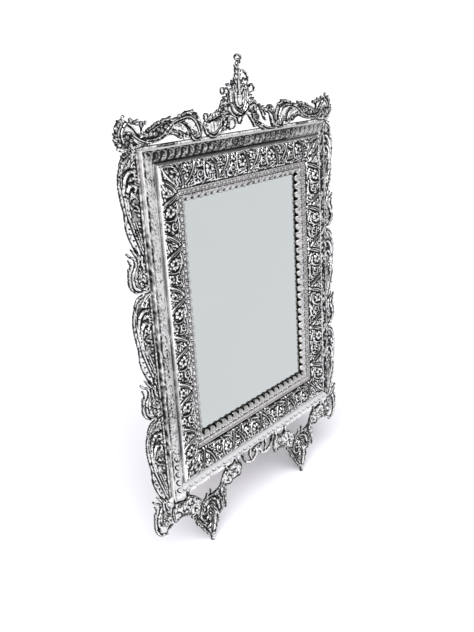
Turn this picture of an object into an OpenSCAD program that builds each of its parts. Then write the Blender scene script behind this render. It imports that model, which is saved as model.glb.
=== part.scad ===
// Dressing-table mirror: a mirror plate in a wooden frame, dressed with cast and chased
// silver mouldings and openwork scrolls, standing on two scroll feet and a folding back strut.
// Millimetres. +Z is up, the mirror looks towards -Y, and the strut opens towards +Y.
// Inside the lean, the frame is drawn upright: X across, Z up from the middle of the mirror,
// and Y backwards from the face of the chased band.

/* [Frame] */
// Width over the outer edge of the moulded frame
frame_w = 286; // [250:2:330]
// Height over the outer edge of the moulded frame
frame_h = 346; // [300:2:400]
// Angle that the mirror leans back from upright
lean = 6; // [4:0.5:10]

/* [Mouldings] */
// Thickness of the plain band round the outside edge
edge_band_t = 1; // [0.6:0.1:2]
// Width of the gadrooned moulding
gadroon_w = 10.5; // [8:0.5:14]
// Height of the gadrooned moulding over its seat
gadroon_rise = 4.4; // [3:0.2:6]
// Width of the dark hollow beside the chased band
cove_w = 3; // [2:0.2:5]
// Width of the chased floral band
floral_w = 25.1; // [20:0.1:32]
// Height of the floral band's outer shoulder over its seat
floral_outer_rise = 4.9; // [3.5:0.1:7]
// Height of the floral band's inner shoulder over its seat
floral_inner_rise = 2; // [1.6:0.1:3]
// How far the floral band bulges over the line between its shoulders
floral_bulge = 2.2; // [0.5:0.1:4]
// Sheet thickness of the chased and pressed silver
sheet_t = 1.2; // [0.8:0.1:1.6]
// Width of the plain fillet
fillet_w = 5.8; // [4:0.2:8]
// Width of the leaf-tip edge along the mirror plate
leaf_w = 7.6; // [6:0.2:10]
// How far the leaf-tip edge drops towards the plate
leaf_drop = 4; // [2:0.2:4.6]
// Distance between leaf tips
leaf_pitch = 9.3; // [7:0.1:12]

/* [Wooden rails] */
// Depth from the moulding seat to the back of the rails
rail_depth = 14.6; // [12:0.2:18]
// Thickness of the wooden lip in front of the plate
lip_t = 4.4; // [4:0.2:6]
// Step down from the floral band's seat to the fillet's seat
seat_step = 1.2; // [1:0.1:2]
// How far the lip covers the edge of the plate
lip_cover = 5; // [3:0.5:8]
// Width of the rear recess that takes the openwork's flange
recess_w = 8; // [7:0.5:12]
// Depth of wood left in front of the rear recess
recess_wood = 4; // [3:0.2:5]

/* [Mirror plate and back] */
// Thickness of the mirror plate
glass_t = 3; // [2:0.5:4]
// Thickness of the felt sheet behind the plate
felt_t = 1; // [0.5:0.1:2]
// Side clearance of the plate in its recess
glass_gap = 1; // [0.5:0.1:2]
// Side clearance of the back board in its recess
board_gap = 0.5; // [0.3:0.1:1.5]

/* [Openwork] */
// Thickness of the flange that carries the scrolls
flange_t = 2.4; // [1.6:0.1:3]
// Width of flange that shows outside the frame
flange_show = 5.5; // [4:0.5:8]
// How far the scrolls stand proud of the flange
scroll_proud = 2; // [1:0.1:3]
// Factor on every scroll's width
scroll_weight = 1; // [0.8:0.05:1.3]
// Clearance between the scrolls and the frame's edge
edge_gap = 0.3; // [0.2:0.1:1]
// Clearance of the flange in its recess
flange_gap = 0.3; // [0.1:0.1:1]
// Distance from the frame's bottom edge to the tips of the feet
foot_drop = 85; // [80:1:88]
// Distance between the middles of the two feet, as a share of the frame's width
foot_share = 0.605; // [0.59:0.005:0.62]
// Length cut off each foot's tip to make it stand flat
foot_flat = 1.6; // [1:0.1:3]

/* [Strut] */
// Angle between the back board and the open strut
strut_open = 18; // [14:1:24]
// Height of the strut's hinge over the middle of the mirror
hinge_z = 85; // [60:1:100]
// Width of the strut at its hinge
strut_top_w = 60; // [48:1:80]
// Width of the strut at its foot
strut_foot_w = 40; // [30:1:60]
// Thickness of the strut
strut_t = 6; // [4:0.5:9]
// Thickness of the leather pad under the strut
pad_t = 1.5; // [1:0.1:3]

/* [Hinge] */
// Distance from the back board to the hinge's axis
hinge_stand = 3.5; // [3.5:0.1:5]
// Distance from the hinge's axis to the strut's face
slot_half = 1.5; // [1.5:0.1:1.8]
// Width of the hinge
hinge_w = 40; // [32:1:50]
// Length of each leaf
leaf_len = 18; // [14:1:26]
// Thickness of the leaves, of the lugs' feet and of the keeper
plate_t = 1; // [0.8:0.1:1.2]
// Radius of the knuckles
knuckle_r = 2.5; // [2.3:0.1:2.8]
// Radius of the hinge's pin
hinge_pin_r = 1; // [0.8:0.1:1.3]
// Gap between neighbouring knuckles
knuckle_gap = 0.3; // [0.2:0.1:0.6]

/* [Wire stay] */
// Length of the stay from its pivot to its crossbar
stay_len = 60; // [50:1:75]
// Distance between the middles of the stay's two legs
stay_w = 40; // [30:1:48]
// Radius of the stay's wire
wire_r = 1.2; // [0.9:0.1:1.2]
// Thickness of each lug's ear
lug_t = 2; // [1.5:0.1:3]
// Length of each lug's foot
lug_foot = 11; // [9:0.5:15]
// Width of the keeper on the strut
keeper_w = 12; // [8:0.5:18]
// Length of each of the keeper's feet
keeper_foot = 7; // [6:0.5:10]

/* [Turn-buttons] */
// Length from the pivot to the tip
button_reach = 20; // [17:0.5:23]
// Length from the pivot to the tail
button_tail = 6; // [5:0.5:9]
// Width of a turn-button
button_w = 9; // [7:0.5:12]
// Thickness of a turn-button
button_t = 1.2; // [0.8:0.1:1.6]
// Height of the upper and lower side turn-buttons from the middle
button_z = 85; // [60:1:100]

/* [Screws] */
// Shank radius of the small brass screws
screw_r = 0.9; // [0.7:0.1:1.1]
// Head radius of the small brass screws
screw_head_r = 2; // [1.5:0.1:2.2]
// Head height of the small brass screws
screw_head_t = 0.9; // [0.6:0.1:1]
// How deep the small screws bite into wood
screw_bite = 3; // [2:0.1:3.4]
// Shank radius of the turn-button screws
button_screw_r = 1.5; // [1.2:0.1:1.8]
// Head radius of the turn-button screws
button_head_r = 3; // [2.5:0.1:3.6]
// How deep the turn-button screws bite
button_bite = 8; // [6:0.5:9]
// Clearance between a fixed shank and its hole
fixed_gap = 0.05; // [0.02:0.01:0.1]
// Running clearance between a pivot and its bore
pivot_gap = 0.05; // [0.02:0.01:0.1]
// Gap under a piece that slides over another
slide_gap = 0.2; // [0.1:0.05:0.4]

/* [Hidden] */
$fn = 48;
SEGMENTS = ["upper", "middle", "lower"];
BUTTONS = ["top", "bottom", "left_upper", "left_lower", "right_upper", "right_lower"];

// Inset of each moulding from the outer edge, one after another
gadroon_in = edge_band_t;
cove_in = gadroon_in + gadroon_w;
floral_in = cove_in + cove_w;
fillet_in = floral_in + floral_w;
leaf_in = fillet_in + fillet_w;
sight_in = leaf_in + leaf_w;

// Depths, from the front backwards
seat_y = floral_inner_rise;
fillet_seat_y = seat_y + seat_step;
rail_back_y = seat_y + rail_depth;
glass_y = fillet_seat_y + lip_t;
felt_y = glass_y + glass_t;
board_y = felt_y + felt_t;
flange_y = seat_y + recess_wood;
flange_back_y = flange_y + flange_t;
scroll_y = flange_y - scroll_proud;
band_front_y = 1.4;

// Insets of what sits in the rails
lip_in = leaf_in + 1.1;
plate_in = lip_in - lip_cover;
recess_in = plate_in - glass_gap;
board_in = recess_in + board_gap;
flange_in = edge_band_t + recess_w;
screw_in = flange_in / 2;

// The openwork is drawn for this frame, and spreads with it
drawn_w = 286;
drawn_h = 346;
drawn_segment = 126;
drawn_drop = 85;
spread_x = frame_w / drawn_w;
spread_z = frame_h / drawn_h;
segment_len = drawn_segment * spread_z;
centre_half = 57 * spread_x;
apron_half = 32 * spread_x;
foot_span = frame_w * foot_share;

// Folding geometry: hinge axis, stay pivot and crossbar make an isosceles triangle
axis_y = rail_back_y + hinge_stand;
stay_reach_open = 2 * stay_len * cos(strut_open);
stay_reach_shut = 2 * stay_len;
stay_pivot_z = hinge_z - stay_len;
ear_r = 2.4;
ear_x = stay_w / 2 + wire_r + slide_gap + 0.3;

// Turn-button pivots sit in the middle of the rails' back face
button_in = (flange_in + recess_in) / 2 + 6;
button_y = rail_back_y + slide_gap;

// Place of the leaning frame over the ground
tip_z = frame_h / 2 + foot_drop - foot_flat;
foot_y = (scroll_y + flange_back_y) / 2;
lift_z = tip_z * cos(lean) + foot_y * sin(lean);
front_y = scroll_y * cos(lean) - tip_z * sin(lean);
hinge_height = lift_z - axis_y * sin(lean) + hinge_z * cos(lean);
strut_tilt = strut_open - lean;
hinge_back_y = axis_y * cos(lean) + hinge_z * sin(lean);
strut_back_y = hinge_back_y + hinge_height * tan(strut_tilt) + (slot_half + strut_t) / cos(strut_tilt);
shift_y = -(front_y + strut_back_y) / 2;
far = 400;

silver = "#c9c9cd";
bright_silver = "#dcdce0";
walnut = "#5a3a24";
brass = "#b99a55";
steel = "#8d8f92";

// --- placing ---------------------------------------------------------------------------------

// The upright frame, leant back and set on the ground
module leaning() {
    translate([0, shift_y, lift_z])
        rotate([-lean, 0, 0])
            children();
}

// The strut's own space: the hinge axis is the origin, and the strut hangs down from it
module on_strut() {
    translate([0, shift_y + hinge_back_y, hinge_height])
        rotate([strut_tilt, 0, 0])
            children();
}

// Each side of the frame: X along it, Z outwards from the outer edge
module on_side(side) {
    if (side == "top") translate([0, 0, frame_h / 2]) children();
    if (side == "bottom") mirror([0, 0, 1]) translate([0, 0, frame_h / 2]) children();
    if (side == "left") rotate([0, -90, 0]) translate([0, 0, frame_w / 2]) children();
    if (side == "right") mirror([1, 0, 0]) rotate([0, -90, 0]) translate([0, 0, frame_w / 2]) children();
}

function side_len(side) = side == "top" || side == "bottom" ? frame_w : frame_h;

// A flat shape in X and Z, made solid from y_front to y_back
module slab(y_front, y_back) {
    translate([0, y_back, 0])
        rotate([90, 0, 0])
            linear_extrude(y_back - y_front)
                children();
}

// A moulding of the child's section along one side, mitred at both ends
module mitred(side) {
    half = side_len(side) / 2;
    over = 20;
    deep = sight_in + 1;
    on_side(side)
        intersection() {
            translate([-half - over, 0, 0])
                rotate([90, 0, 90])
                    linear_extrude(2 * (half + over))
                        children();
            slab(-over, far / 4)
                polygon([[-half - over, over], [half + over, over], [half - deep, -deep], [deep - half, -deep]]);
        }
}

// A point of a moulding's section: inset from the outer edge, and depth
function at(inset, y) = [y, -inset];

// A curve between two such points that bulges forwards at its middle
function bulged(a, b, bulge, steps) = [
    for (i = [0:steps])
        let (f = i / steps) a + (b - a) * f + [-bulge * sin(180 * f), 0]
];

// --- wooden rails ----------------------------------------------------------------------------

module rail_section() {
    polygon([
        at(edge_band_t, seat_y), at(fillet_in, seat_y), at(fillet_in, fillet_seat_y),
        at(leaf_in, fillet_seat_y), at(lip_in, fillet_seat_y + 0.9), at(lip_in, glass_y),
        at(recess_in, glass_y), at(recess_in, rail_back_y), at(flange_in, rail_back_y),
        at(flange_in, flange_y), at(edge_band_t, flange_y)
    ]);
}

module rail(side) {
    color(walnut)
        leaning()
            difference() {
                mitred(side) rail_section();
                flange_screw_places() screw_hole(flange_t + screw_bite);
                button_places() screw_hole(button_bite, button_screw_r);
            }
}

// --- silver mouldings ------------------------------------------------------------------------

module edge_band(side) {
    color(bright_silver)
        leaning()
            mitred(side)
                polygon([
                    at(0, band_front_y), at(edge_band_t, band_front_y),
                    at(edge_band_t, flange_y), at(0, flange_y)
                ]);
}

module gadroon(side) {
    shoulder = 1;
    color(silver)
        leaning()
            mitred(side)
                polygon(concat(
                    [at(gadroon_in, seat_y)],
                    bulged(at(gadroon_in, seat_y - shoulder), at(cove_in, seat_y - 1.6 * shoulder),
                           gadroon_rise - 1.3 * shoulder, 12),
                    [at(cove_in, seat_y)]
                ));
}

module floral_band(side) {
    flank = 0.8;
    shoulder_y = seat_y - floral_outer_rise;
    color(silver)
        leaning()
            mitred(side)
                polygon(concat(
                    [at(cove_in, seat_y), at(cove_in, seat_y - sheet_t), at(floral_in - flank, seat_y - sheet_t)],
                    bulged(at(floral_in, shoulder_y), at(fillet_in - flank, 0), floral_bulge, 12),
                    [at(fillet_in, flank), at(fillet_in, seat_y), at(fillet_in - sheet_t, seat_y)],
                    bulged(at(fillet_in - sheet_t - flank / 2, sheet_t), at(floral_in + sheet_t, shoulder_y + sheet_t),
                           floral_bulge, 12),
                    [at(floral_in + flank / 2, seat_y)]
                ));
}

module fillet_strip(side) {
    bead = 0.8;
    color(bright_silver)
        leaning()
            mitred(side)
                polygon(concat(
                    [at(fillet_in, fillet_seat_y), at(fillet_in, bead)],
                    bulged(at(fillet_in + 0.2, bead), at(fillet_in + 2 * bead, bead), bead, 6),
                    bulged(at(leaf_in - 2 * bead, 2 * bead), at(leaf_in - 0.2, 2.2 * bead), bead / 2, 6),
                    [at(leaf_in, fillet_seat_y)]
                ));
}

// Leaf tips: a sloping sheet whose free edge is scalloped between the tips
module leaf_edge(side) {
    run = side_len(side) - 2 * sight_in;
    tips = max(1, round(run / leaf_pitch));
    pitch = run / tips;
    notch_r = pitch * 0.24;
    color(silver)
        leaning()
            difference() {
                mitred(side)
                    polygon([
                        at(leaf_in, fillet_seat_y - sheet_t), at(sight_in, fillet_seat_y - sheet_t + leaf_drop),
                        at(sight_in, fillet_seat_y + leaf_drop - 0.2), at(leaf_in, fillet_seat_y - 0.1)
                    ]);
                on_side(side)
                    for (i = [1:tips - 1])
                        translate([-run / 2 + i * pitch, 0, -sight_in])
                            rotate([90, 0, 0])
                                cylinder(r = notch_r, h = far / 8, center = true);
            }
}

// --- plate, felt and back board --------------------------------------------------------------

module sheet_outline(inset) {
    square([frame_w - 2 * inset, frame_h - 2 * inset], center = true);
}

module mirror_plate() {
    color("#c2c8ce")
        leaning()
            slab(glass_y, felt_y)
                sheet_outline(plate_in);
}

module felt_sheet() {
    color("#4b1f2a")
        leaning()
            slab(felt_y, board_y)
                sheet_outline(plate_in);
}

module back_board() {
    color("#6b482e")
        leaning()
            difference() {
                slab(board_y, rail_back_y)
                    sheet_outline(board_in);
                board_screw_places() screw_hole(screw_bite);
            }
}

// --- screws ----------------------------------------------------------------------------------

// A screw along Y: the origin is under its head, and the shank runs forwards
module screw(length, bite, r = screw_r, head_r = screw_head_r, head_t = screw_head_t) {
    rotate([90, 0, 0])
        cylinder(r = r, h = length + bite);
    rotate([-90, 0, 0])
        cylinder(r = head_r, h = head_t);
}

module screw_hole(depth, r = screw_r) {
    rotate([90, 0, 0])
        translate([0, 0, -1])
            cylinder(r = r + fixed_gap, h = depth + 1);
}

// --- openwork --------------------------------------------------------------------------------

// Points along a smooth curve through the given ones
function blend(a, b, c, d, t) =
    0.5 * (2 * b + (c - a) * t + (2 * a - 5 * b + 4 * c - d) * t * t + (3 * b - a - 3 * c + d) * t * t * t);

function curve(p, steps) = [
    for (i = [0:len(p) - 2], k = [0:steps - (i == len(p) - 2 ? 0 : 1)])
        blend(p[max(i - 1, 0)], p[i], p[i + 1], p[min(i + 2, len(p) - 1)], k / steps)
];

function across(q, i) =
    let (d = q[min(i + 1, len(q) - 1)] - q[max(i - 1, 0)]) [-d[1], d[0]] / max(norm(d), 0.001);

// A scroll stroke: widest at its middle, with narrower ends
module stroke(points, width, tip = 0.5) {
    q = curve(points, 3);
    last = len(q) - 1;
    half = [for (i = [0:last]) scroll_weight * width / 2 * (tip + (1 - tip) * sin(180 * i / last))];
    polygon(concat(
        [for (i = [0:last]) q[i] + across(q, i) * half[i]],
        [for (i = [last:-1:0]) q[i] - across(q, i) * half[i]]
    ));
}

// A five-petalled flower
module flower(at_point, r) {
    translate(at_point) {
        circle(r = r * 0.5, $fn = 16);
        for (i = [0:4])
            rotate(72 * i)
                translate([r * 0.55, 0])
                    circle(r = r * 0.42, $fn = 16);
    }
}

// The flange of one casting, from x_from to x_to along its side
module flange(side, x_from, x_to) {
    intersection() {
        mitred(side)
            polygon([
                at(-flange_show, flange_y), at(-flange_show, flange_back_y),
                at(flange_in - flange_gap, flange_back_y), at(flange_in - flange_gap, flange_y)
            ]);
        on_side(side)
            slab(0, far / 4)
                translate([x_from, -far / 2])
                    square([x_to - x_from, far]);
    }
}

// One casting: the children are its scrolls, drawn along the side and outwards
module casting(side, x_from, x_to) {
    difference() {
        union() {
            flange(side, x_from, x_to);
            on_side(side)
                slab(scroll_y, flange_back_y)
                    intersection() {
                        offset(delta = 0.05)
                            union() children();
                        translate([-far, edge_gap])
                            square([2 * far, far]);
                    }
        }
        flange_screw_places() screw_hole(flange_t + 2);
    }
}

// Half of the crest's middle; the other half mirrors it
module crest_half() {
    stroke([[-55, 13], [-53, 6.5], [-47, 3], [-39, 3.5], [-32, 6.9], [-24, 10]], 3.4);
    stroke([[-54, 21], [-55, 24.5], [-52.5, 26.5], [-50, 24], [-51, 20], [-47, 18], [-41, 17.8], [-34, 20], [-29, 24.5]], 3);
    stroke([[-44, 19], [-36, 22.5], [-28, 26]], 6);
    stroke([[-50, 18.5], [-54, 15.5], [-54.5, 10]], 3);
    stroke([[-41, 10], [-39, 14.5], [-35.5, 13], [-36, 9.5], [-32.5, 7]], 2.6);
    stroke([[-21, 6], [-25, 16], [-26, 26], [-22.5, 37]], 10, 0.4);
    stroke([[-23, 33], [-22, 41.5], [-24.2, 45.8], [-28.5, 45.5], [-29.8, 42], [-26.5, 40]], 2.4);
    stroke([[-20, 47.6], [-14.7, 43.5], [-15.8, 36], [-15.2, 27.7], [-10.4, 20.8], [-3.5, 17.6], [1, 17.3]], 4, 0.8);
    stroke([[-8.7, 37], [-8.7, 29.4], [-5, 24.5], [1, 23.2]], 2.6, 0.8);
    stroke([[-20, 47], [-14, 50.5], [-7, 46]], 4.6);
    stroke([[-16, 41], [-10, 39.5], [-3, 38]], 4, 0.8);
    stroke([[-6.5, 18], [-3.5, 12.5], [0.5, 10.8]], 3, 0.8);
    stroke([[-9, 21], [-14.5, 15], [-19.9, 10], [-22.5, 2]], 4.6, 0.6);
}

module crest_scrolls() {
    crest_half();
    mirror([1, 0]) crest_half();
    translate([0, 31]) scale(8) circle(r = 1, $fn = 24);
    stroke([[-4, 36], [-7.8, 48], [-8.6, 59]], 6.5, 0.4);
    stroke([[0, 36], [-0.6, 52], [-1.4, 67]], 7.5, 0.4);
    stroke([[3, 37], [9, 46], [12.6, 53.5], [10.4, 59.5], [4, 61]], 5.6);
    stroke([[-1.7, 62], [1, 68], [3.5, 72], [0.8, 74.4], [-4, 73.4]], 2.8, 0.7);
}

module crest_centre() {
    color(silver)
        leaning()
            casting("top", -centre_half, centre_half)
                scale([spread_x, 1])
                    crest_scrolls();
}

// Ear and arched swag, drawn for the left; X is from the middle of the frame
module wing_scrolls() {
    stroke([[-160.5, 3.5], [-164.5, 9.5], [-164.5, 17.3], [-161, 23.4], [-154.5, 27]], 5, 0.6);
    stroke([[-161, 8.5], [-160.5, 17.3], [-156, 24.2], [-149, 22.1], [-144, 15.6], [-138.5, 10.4], [-133, 7.6]], 3.8, 0.7);
    stroke([[-157.5, 3], [-156, 13.5], [-151.5, 16.2], [-147.2, 12.1], [-142, 7], [-135, 4.2], [-126, 5]], 5, 0.7);
    stroke([[-163, 23.5], [-157, 28.6], [-152.5, 28]], 3);
    stroke([[-163, 17], [-168, 13.5], [-164.5, 8]], 3);
    stroke([[-149, 22.5], [-144, 24], [-137, 22], [-129.5, 23.4]], 3.4, 0.6);
    stroke([[-136.5, 21], [-137, 12]], 3.2, 0.9);
    flower([-136, 20.5], 4.4);
    stroke([[-139, 11], [-126, 17.3], [-116, 21], [-104, 23.4], [-93.4, 23.6], [-83, 26], [-72.7, 27.6], [-64, 25], [-59.6, 18.5]], 4.2, 0.7);
    stroke([[-138, 7], [-126, 6.6], [-114, 8.7], [-104, 11.2], [-95, 13.6], [-86.5, 12], [-81.5, 6]], 4.2, 0.7);
    stroke([[-134, 10], [-121, 13.4], [-109, 16.4], [-98.6, 19], [-88, 19], [-80.4, 15.6], [-77, 9], [-76, 3.5]], 3.6, 0.7);
    stroke([[-87, 23.5], [-76, 23.2], [-68.3, 19.9], [-63.4, 13], [-62.6, 6], [-64, 1.7]], 3.4, 0.7);
    stroke([[-97, 10.5], [-90.8, 7.8], [-86.5, 3.5], [-83, 1.5]], 2.8, 0.8);
    flower([-82.2, 6.6], 4.2);
    flower([-68, 7.4], 5.6);
    stroke([[-74, 6], [-68, 2.5], [-62, 2], [-59.4, 6], [-60.6, 13]], 2.8, 0.8);
    for (i = [0:5])
        translate([-124 + 7.4 * i, 15.2 + 0.9 * i])
            circle(r = 2, $fn = 16);
}

module crest_wing(side_sign) {
    color(silver)
        leaning()
            mirror([side_sign > 0 ? 1 : 0, 0, 0])
                casting("top", -frame_w, -centre_half)
                    scale([spread_x, 1])
                        wing_scrolls();
}

// One length of side border; X runs down from the top of the segment, Z outwards
module side_strokes() {
    stroke([[1, 8], [7, 16.5], [17, 21.5], [27, 23.4], [40, 21.8], [53, 17]], 6, 0.4);
    stroke([[25, 8.5], [23.4, 5], [19, 6], [17, 11.2], [20, 17.3], [27.7, 20.6], [40, 21], [52, 19.4], [66, 16.4], [78, 12.1], [90, 7.8]], 3.8, 0.7);
    stroke([[34, 10.4], [33.7, 6.9], [29.4, 6], [26.8, 10.4], [29.4, 15.6], [38, 18], [50, 17], [60, 14]], 3.2, 0.7);
    stroke([[42.4, 2], [45, 7.8], [52, 12.1], [61, 13.8], [70, 15]], 3, 0.7);
    stroke([[58, 20.4], [71, 18.8], [83, 14.7], [94, 9]], 3, 0.6);
    stroke([[53.6, 17], [64, 13.4], [74.4, 9], [86, 4.5]], 3, 0.7);
    stroke([[60, 7.4], [72, 5.6], [84, 4]], 5, 0.5);
    stroke([[88, 8], [90, 14.7], [95, 19], [101.5, 18.2], [99.5, 14]], 4, 0.6);
    stroke([[91, 17], [94, 23.6], [100, 23.4]], 2.6);
    stroke([[91, 10], [99, 14.5], [109, 17], [117.5, 16], [121.5, 11], [122, 5]], 3.4, 0.7);
    stroke([[113, 26], [119, 22.5], [122.5, 16.4], [124, 8], [123, 4.5]], 3.4, 0.7);
    stroke([[2, 3], [5, 9], [14, 12], [19, 8]], 3, 0.7);
    stroke([[76, 5], [88, 8], [100, 6], [104, 4]], 4.4, 0.6);
    flower([111, 8.6], 6.6);
    stroke([[108, 10], [111, 17.5]], 3.4, 0.9);
    for (i = [0:2])
        translate([64 + 7 * i, 16.8 - 2.4 * i])
            circle(r = 1.9, $fn = 16);
}

module side_scroll(side_sign, index) {
    x_top = frame_h / 2 - index * segment_len;
    x_bottom = index == 2 ? -frame_h : x_top - segment_len;
    first_top = index == 0 ? frame_h : x_top;
    color(silver)
        leaning()
            mirror([side_sign > 0 ? 1 : 0, 0, 0])
                casting("left", x_bottom, first_top)
                    translate([x_top, 0])
                        mirror([1, 0])
                            scale([spread_z, 1])
                                side_strokes();
}

// One scroll foot; X from its middle, Z downwards from the frame's bottom edge
module foot_strokes() {
    stroke([[-55, 16], [-48.4, 13.5], [-38, 15.2], [-29.4, 15.6], [-22.5, 21.6], [-13, 28]], 3.8, 0.7);
    stroke([[-54, 31], [-46.7, 32], [-38, 33], [-31, 36.3], [-24, 41]], 4, 0.7);
    stroke([[-52, 22], [-45, 27.7], [-38, 32]], 4, 0.6);
    stroke([[-43.2, 23], [-37, 29], [-31, 35]], 4, 0.6);
    stroke([[-36, 16], [-31, 24.2], [-27, 31]], 4, 0.7);
    stroke([[-54, 30], [-55.6, 23], [-53.6, 15.5]], 2.6, 0.8);
    stroke([[-28, 39], [-22.5, 48.4], [-17, 58]], 7, 0.5);
    stroke([[-12.1, 27.7], [-15.6, 38], [-13, 48.4], [-14.5, 58.8], [-10.4, 69.2], [-4.6, 78], [-0.6, 87]], 4.8, 0.9);
    stroke([[15.6, 27.7], [22, 36.3], [19.9, 50.2], [12.1, 58], [7, 68], [3.2, 78], [0.6, 87]], 4.8, 0.9);
    stroke([[-10, 36], [0, 29.4], [10.4, 34.6], [16.8, 45], [13.6, 54.5], [7.4, 50.2], [10.4, 41.5]], 4, 0.7);
    stroke([[-12, 49], [-1.7, 44], [5.2, 50.2], [6, 60.6], [0, 68.5], [-6.6, 65.7], [-5.2, 58.8]], 4, 0.7);
    stroke([[-15, 28], [-6.9, 26], [0, 21.6], [6.9, 27], [15.6, 26.8], [24.2, 19]], 4, 0.8);
    stroke([[22.5, 20], [24.2, 34.6], [26, 54]], 7, 0.5);
    stroke([[22.5, 20], [34.6, 13.6], [46, 10]], 4.4, 0.7);
    stroke([[25, 34], [38, 28.5], [50.2, 26]], 4, 0.7);
    stroke([[45, 9.6], [53.4, 18], [49.5, 27]], 3.4, 0.7);
    stroke([[25, 25], [34.6, 20.8], [43, 18.6], [49, 21]], 3.8, 0.7);
    stroke([[-3.4, 66], [-1.2, 76], [0, 85]], 5, 0.8);
    for (x = [-50, -33, 33, 45])
        stroke([[x, 3], [x + 1, 9], [x, 17]], 3.6, 0.9);
    difference() {
        translate([-23, 33]) circle(r = 7.4);
        translate([-23, 33]) circle(r = 2.6);
    }
    flower([30, 24], 4);
}

module scroll_foot(side_sign) {
    middle = side_sign * foot_span / 2;
    x_from = side_sign < 0 ? -frame_w : apron_half;
    x_to = side_sign < 0 ? -apron_half : frame_w;
    color(silver)
        difference() {
            leaning()
                casting("bottom", x_from, x_to)
                    translate([middle, 0])
                        scale([spread_x, foot_drop / drawn_drop])
                            foot_strokes();
            translate([-far, -far, -far])
                cube([2 * far, 2 * far, far]);
        }
}

// Half of the apron's middle: a C-scroll under the frame's edge
module apron_half_strokes() {
    stroke([[-29, 3], [-24.2, 15], [-15.6, 19.8], [-7, 18], [-3.6, 12], [-5.2, 6.5], [-9, 9]], 3.6, 0.7);
    stroke([[-14, 3], [-15, 11], [-12, 19]], 3, 0.8);
    stroke([[-4, 13], [0.5, 10]], 4, 0.9);
}

module apron_centre() {
    color(silver)
        leaning()
            casting("bottom", -apron_half, apron_half)
                scale([spread_x, 1]) {
                    apron_half_strokes();
                    mirror([1, 0]) apron_half_strokes();
                    flower([0, 8], 5);
                }
}

// Where the flanges are screwed to the rails, along each side
module flange_screw_places() {
    top_x = [for (x = [32, 75, 125]) x * spread_x];
    bottom_x = [for (x = [16, 48, 120]) x * spread_x];
    for (s = [-1, 1]) {
        for (x = top_x)
            translate([s * x, flange_back_y, frame_h / 2 - screw_in]) children();
        for (x = bottom_x)
            translate([s * x, flange_back_y, screw_in - frame_h / 2]) children();
        for (i = [0:2], f = [0.2, 0.7])
            translate([s * (frame_w / 2 - screw_in), flange_back_y, frame_h / 2 - (i + f) * segment_len]) children();
    }
}

module openwork_screws() {
    color(brass)
        leaning()
            flange_screw_places()
                screw(flange_t, screw_bite);
}

// --- turn-buttons ----------------------------------------------------------------------------

// Pivot of one turn-button, and the way that its tip points, as a turn about Y
function button_spot(name) =
    let (x = frame_w / 2 - button_in, z = frame_h / 2 - button_in)
    name == "top" ? [0, z, 180]
    : name == "bottom" ? [0, -z, 0]
    : name == "left_upper" ? [-x, button_z, 90]
    : name == "left_lower" ? [-x, -button_z, 90]
    : name == "right_upper" ? [x, button_z, -90]
    : [x, -button_z, -90];

module at_button(name, y) {
    spot = button_spot(name);
    translate([spot[0], y, spot[1]])
        rotate([0, spot[2], 0])
            children();
}

module button_places() {
    for (name = BUTTONS)
        at_button(name, rail_back_y)
            children();
}

module turn_button(name) {
    color(brass)
        leaning()
            at_button(name, 0)
                difference() {
                    slab(button_y, button_y + button_t)
                        union() {
                            translate([-button_w / 2, -button_tail + button_w / 2])
                                square([button_w, button_reach + button_tail - button_w]);
                            translate([0, button_reach - button_w / 2]) circle(d = button_w);
                            translate([0, button_w / 2 - button_tail]) circle(d = button_w);
                        }
                    translate([0, button_y - 1, 0])
                        rotate([-90, 0, 0])
                            cylinder(r = button_screw_r + pivot_gap, h = button_t + 2);
                }
}

module turn_button_screws() {
    color(brass)
        leaning()
            button_places()
                translate([0, 2 * slide_gap + button_t, 0])
                    screw(2 * slide_gap + button_t, button_bite - 0.5, button_screw_r, button_head_r);
}

// --- hinge -----------------------------------------------------------------------------------

// A cylinder along X, centred on the hinge axis
module rod_x(r, x_from, x_to) {
    translate([x_from, 0, 0])
        rotate([0, 90, 0])
            cylinder(r = r, h = x_to - x_from);
}

module block(x, y, z) {
    translate([x[0], y[0], z[0]])
        cube([x[1] - x[0], y[1] - y[0], z[1] - z[0]]);
}

middle_half = hinge_w / 6;
leaf_gap = knuckle_r + 0.7;
hinge_screws_x = [for (s = [-1, 0, 1]) s * hinge_w * 0.36];
hinge_screw_z = leaf_gap + (leaf_len - leaf_gap) * 0.55;

module hinge_leaf_board() {
    board = -hinge_stand;
    color(brass)
        leaning()
            translate([0, axis_y, hinge_z])
                difference() {
                    union() {
                        block([-hinge_w / 2, hinge_w / 2], [board, board + plate_t], [leaf_gap, leaf_len]);
                        for (s = [-1, 1]) {
                            x = s > 0 ? [middle_half + knuckle_gap, hinge_w / 2]
                                      : [-hinge_w / 2, -middle_half - knuckle_gap];
                            block(x, [board, board + plate_t], [0, leaf_gap + 1]);
                            block(x, [board, 0], [0, knuckle_r]);
                            rod_x(knuckle_r, x[0], x[1]);
                        }
                    }
                    rod_x(hinge_pin_r + fixed_gap, -hinge_w, hinge_w);
                    for (x = hinge_screws_x)
                        translate([x, board + plate_t, hinge_screw_z]) screw_hole(plate_t + 1);
                }
}

module hinge_leaf_strut() {
    color(brass)
        on_strut()
            difference() {
                union() {
                    block([-hinge_w / 2, hinge_w / 2], [slot_half - plate_t, slot_half], [-leaf_len, -leaf_gap]);
                    block([-middle_half, middle_half], [slot_half - plate_t, slot_half], [-leaf_gap - 1, -1.2]);
                    rod_x(knuckle_r, -middle_half, middle_half);
                }
                rod_x(hinge_pin_r + pivot_gap, -hinge_w, hinge_w);
                for (x = hinge_screws_x)
                    translate([x, 0, -hinge_screw_z])
                        rotate([180, 0, 0])
                            translate([0, -slot_half + plate_t, 0])
                                screw_hole(plate_t + 1);
            }
}

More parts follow.
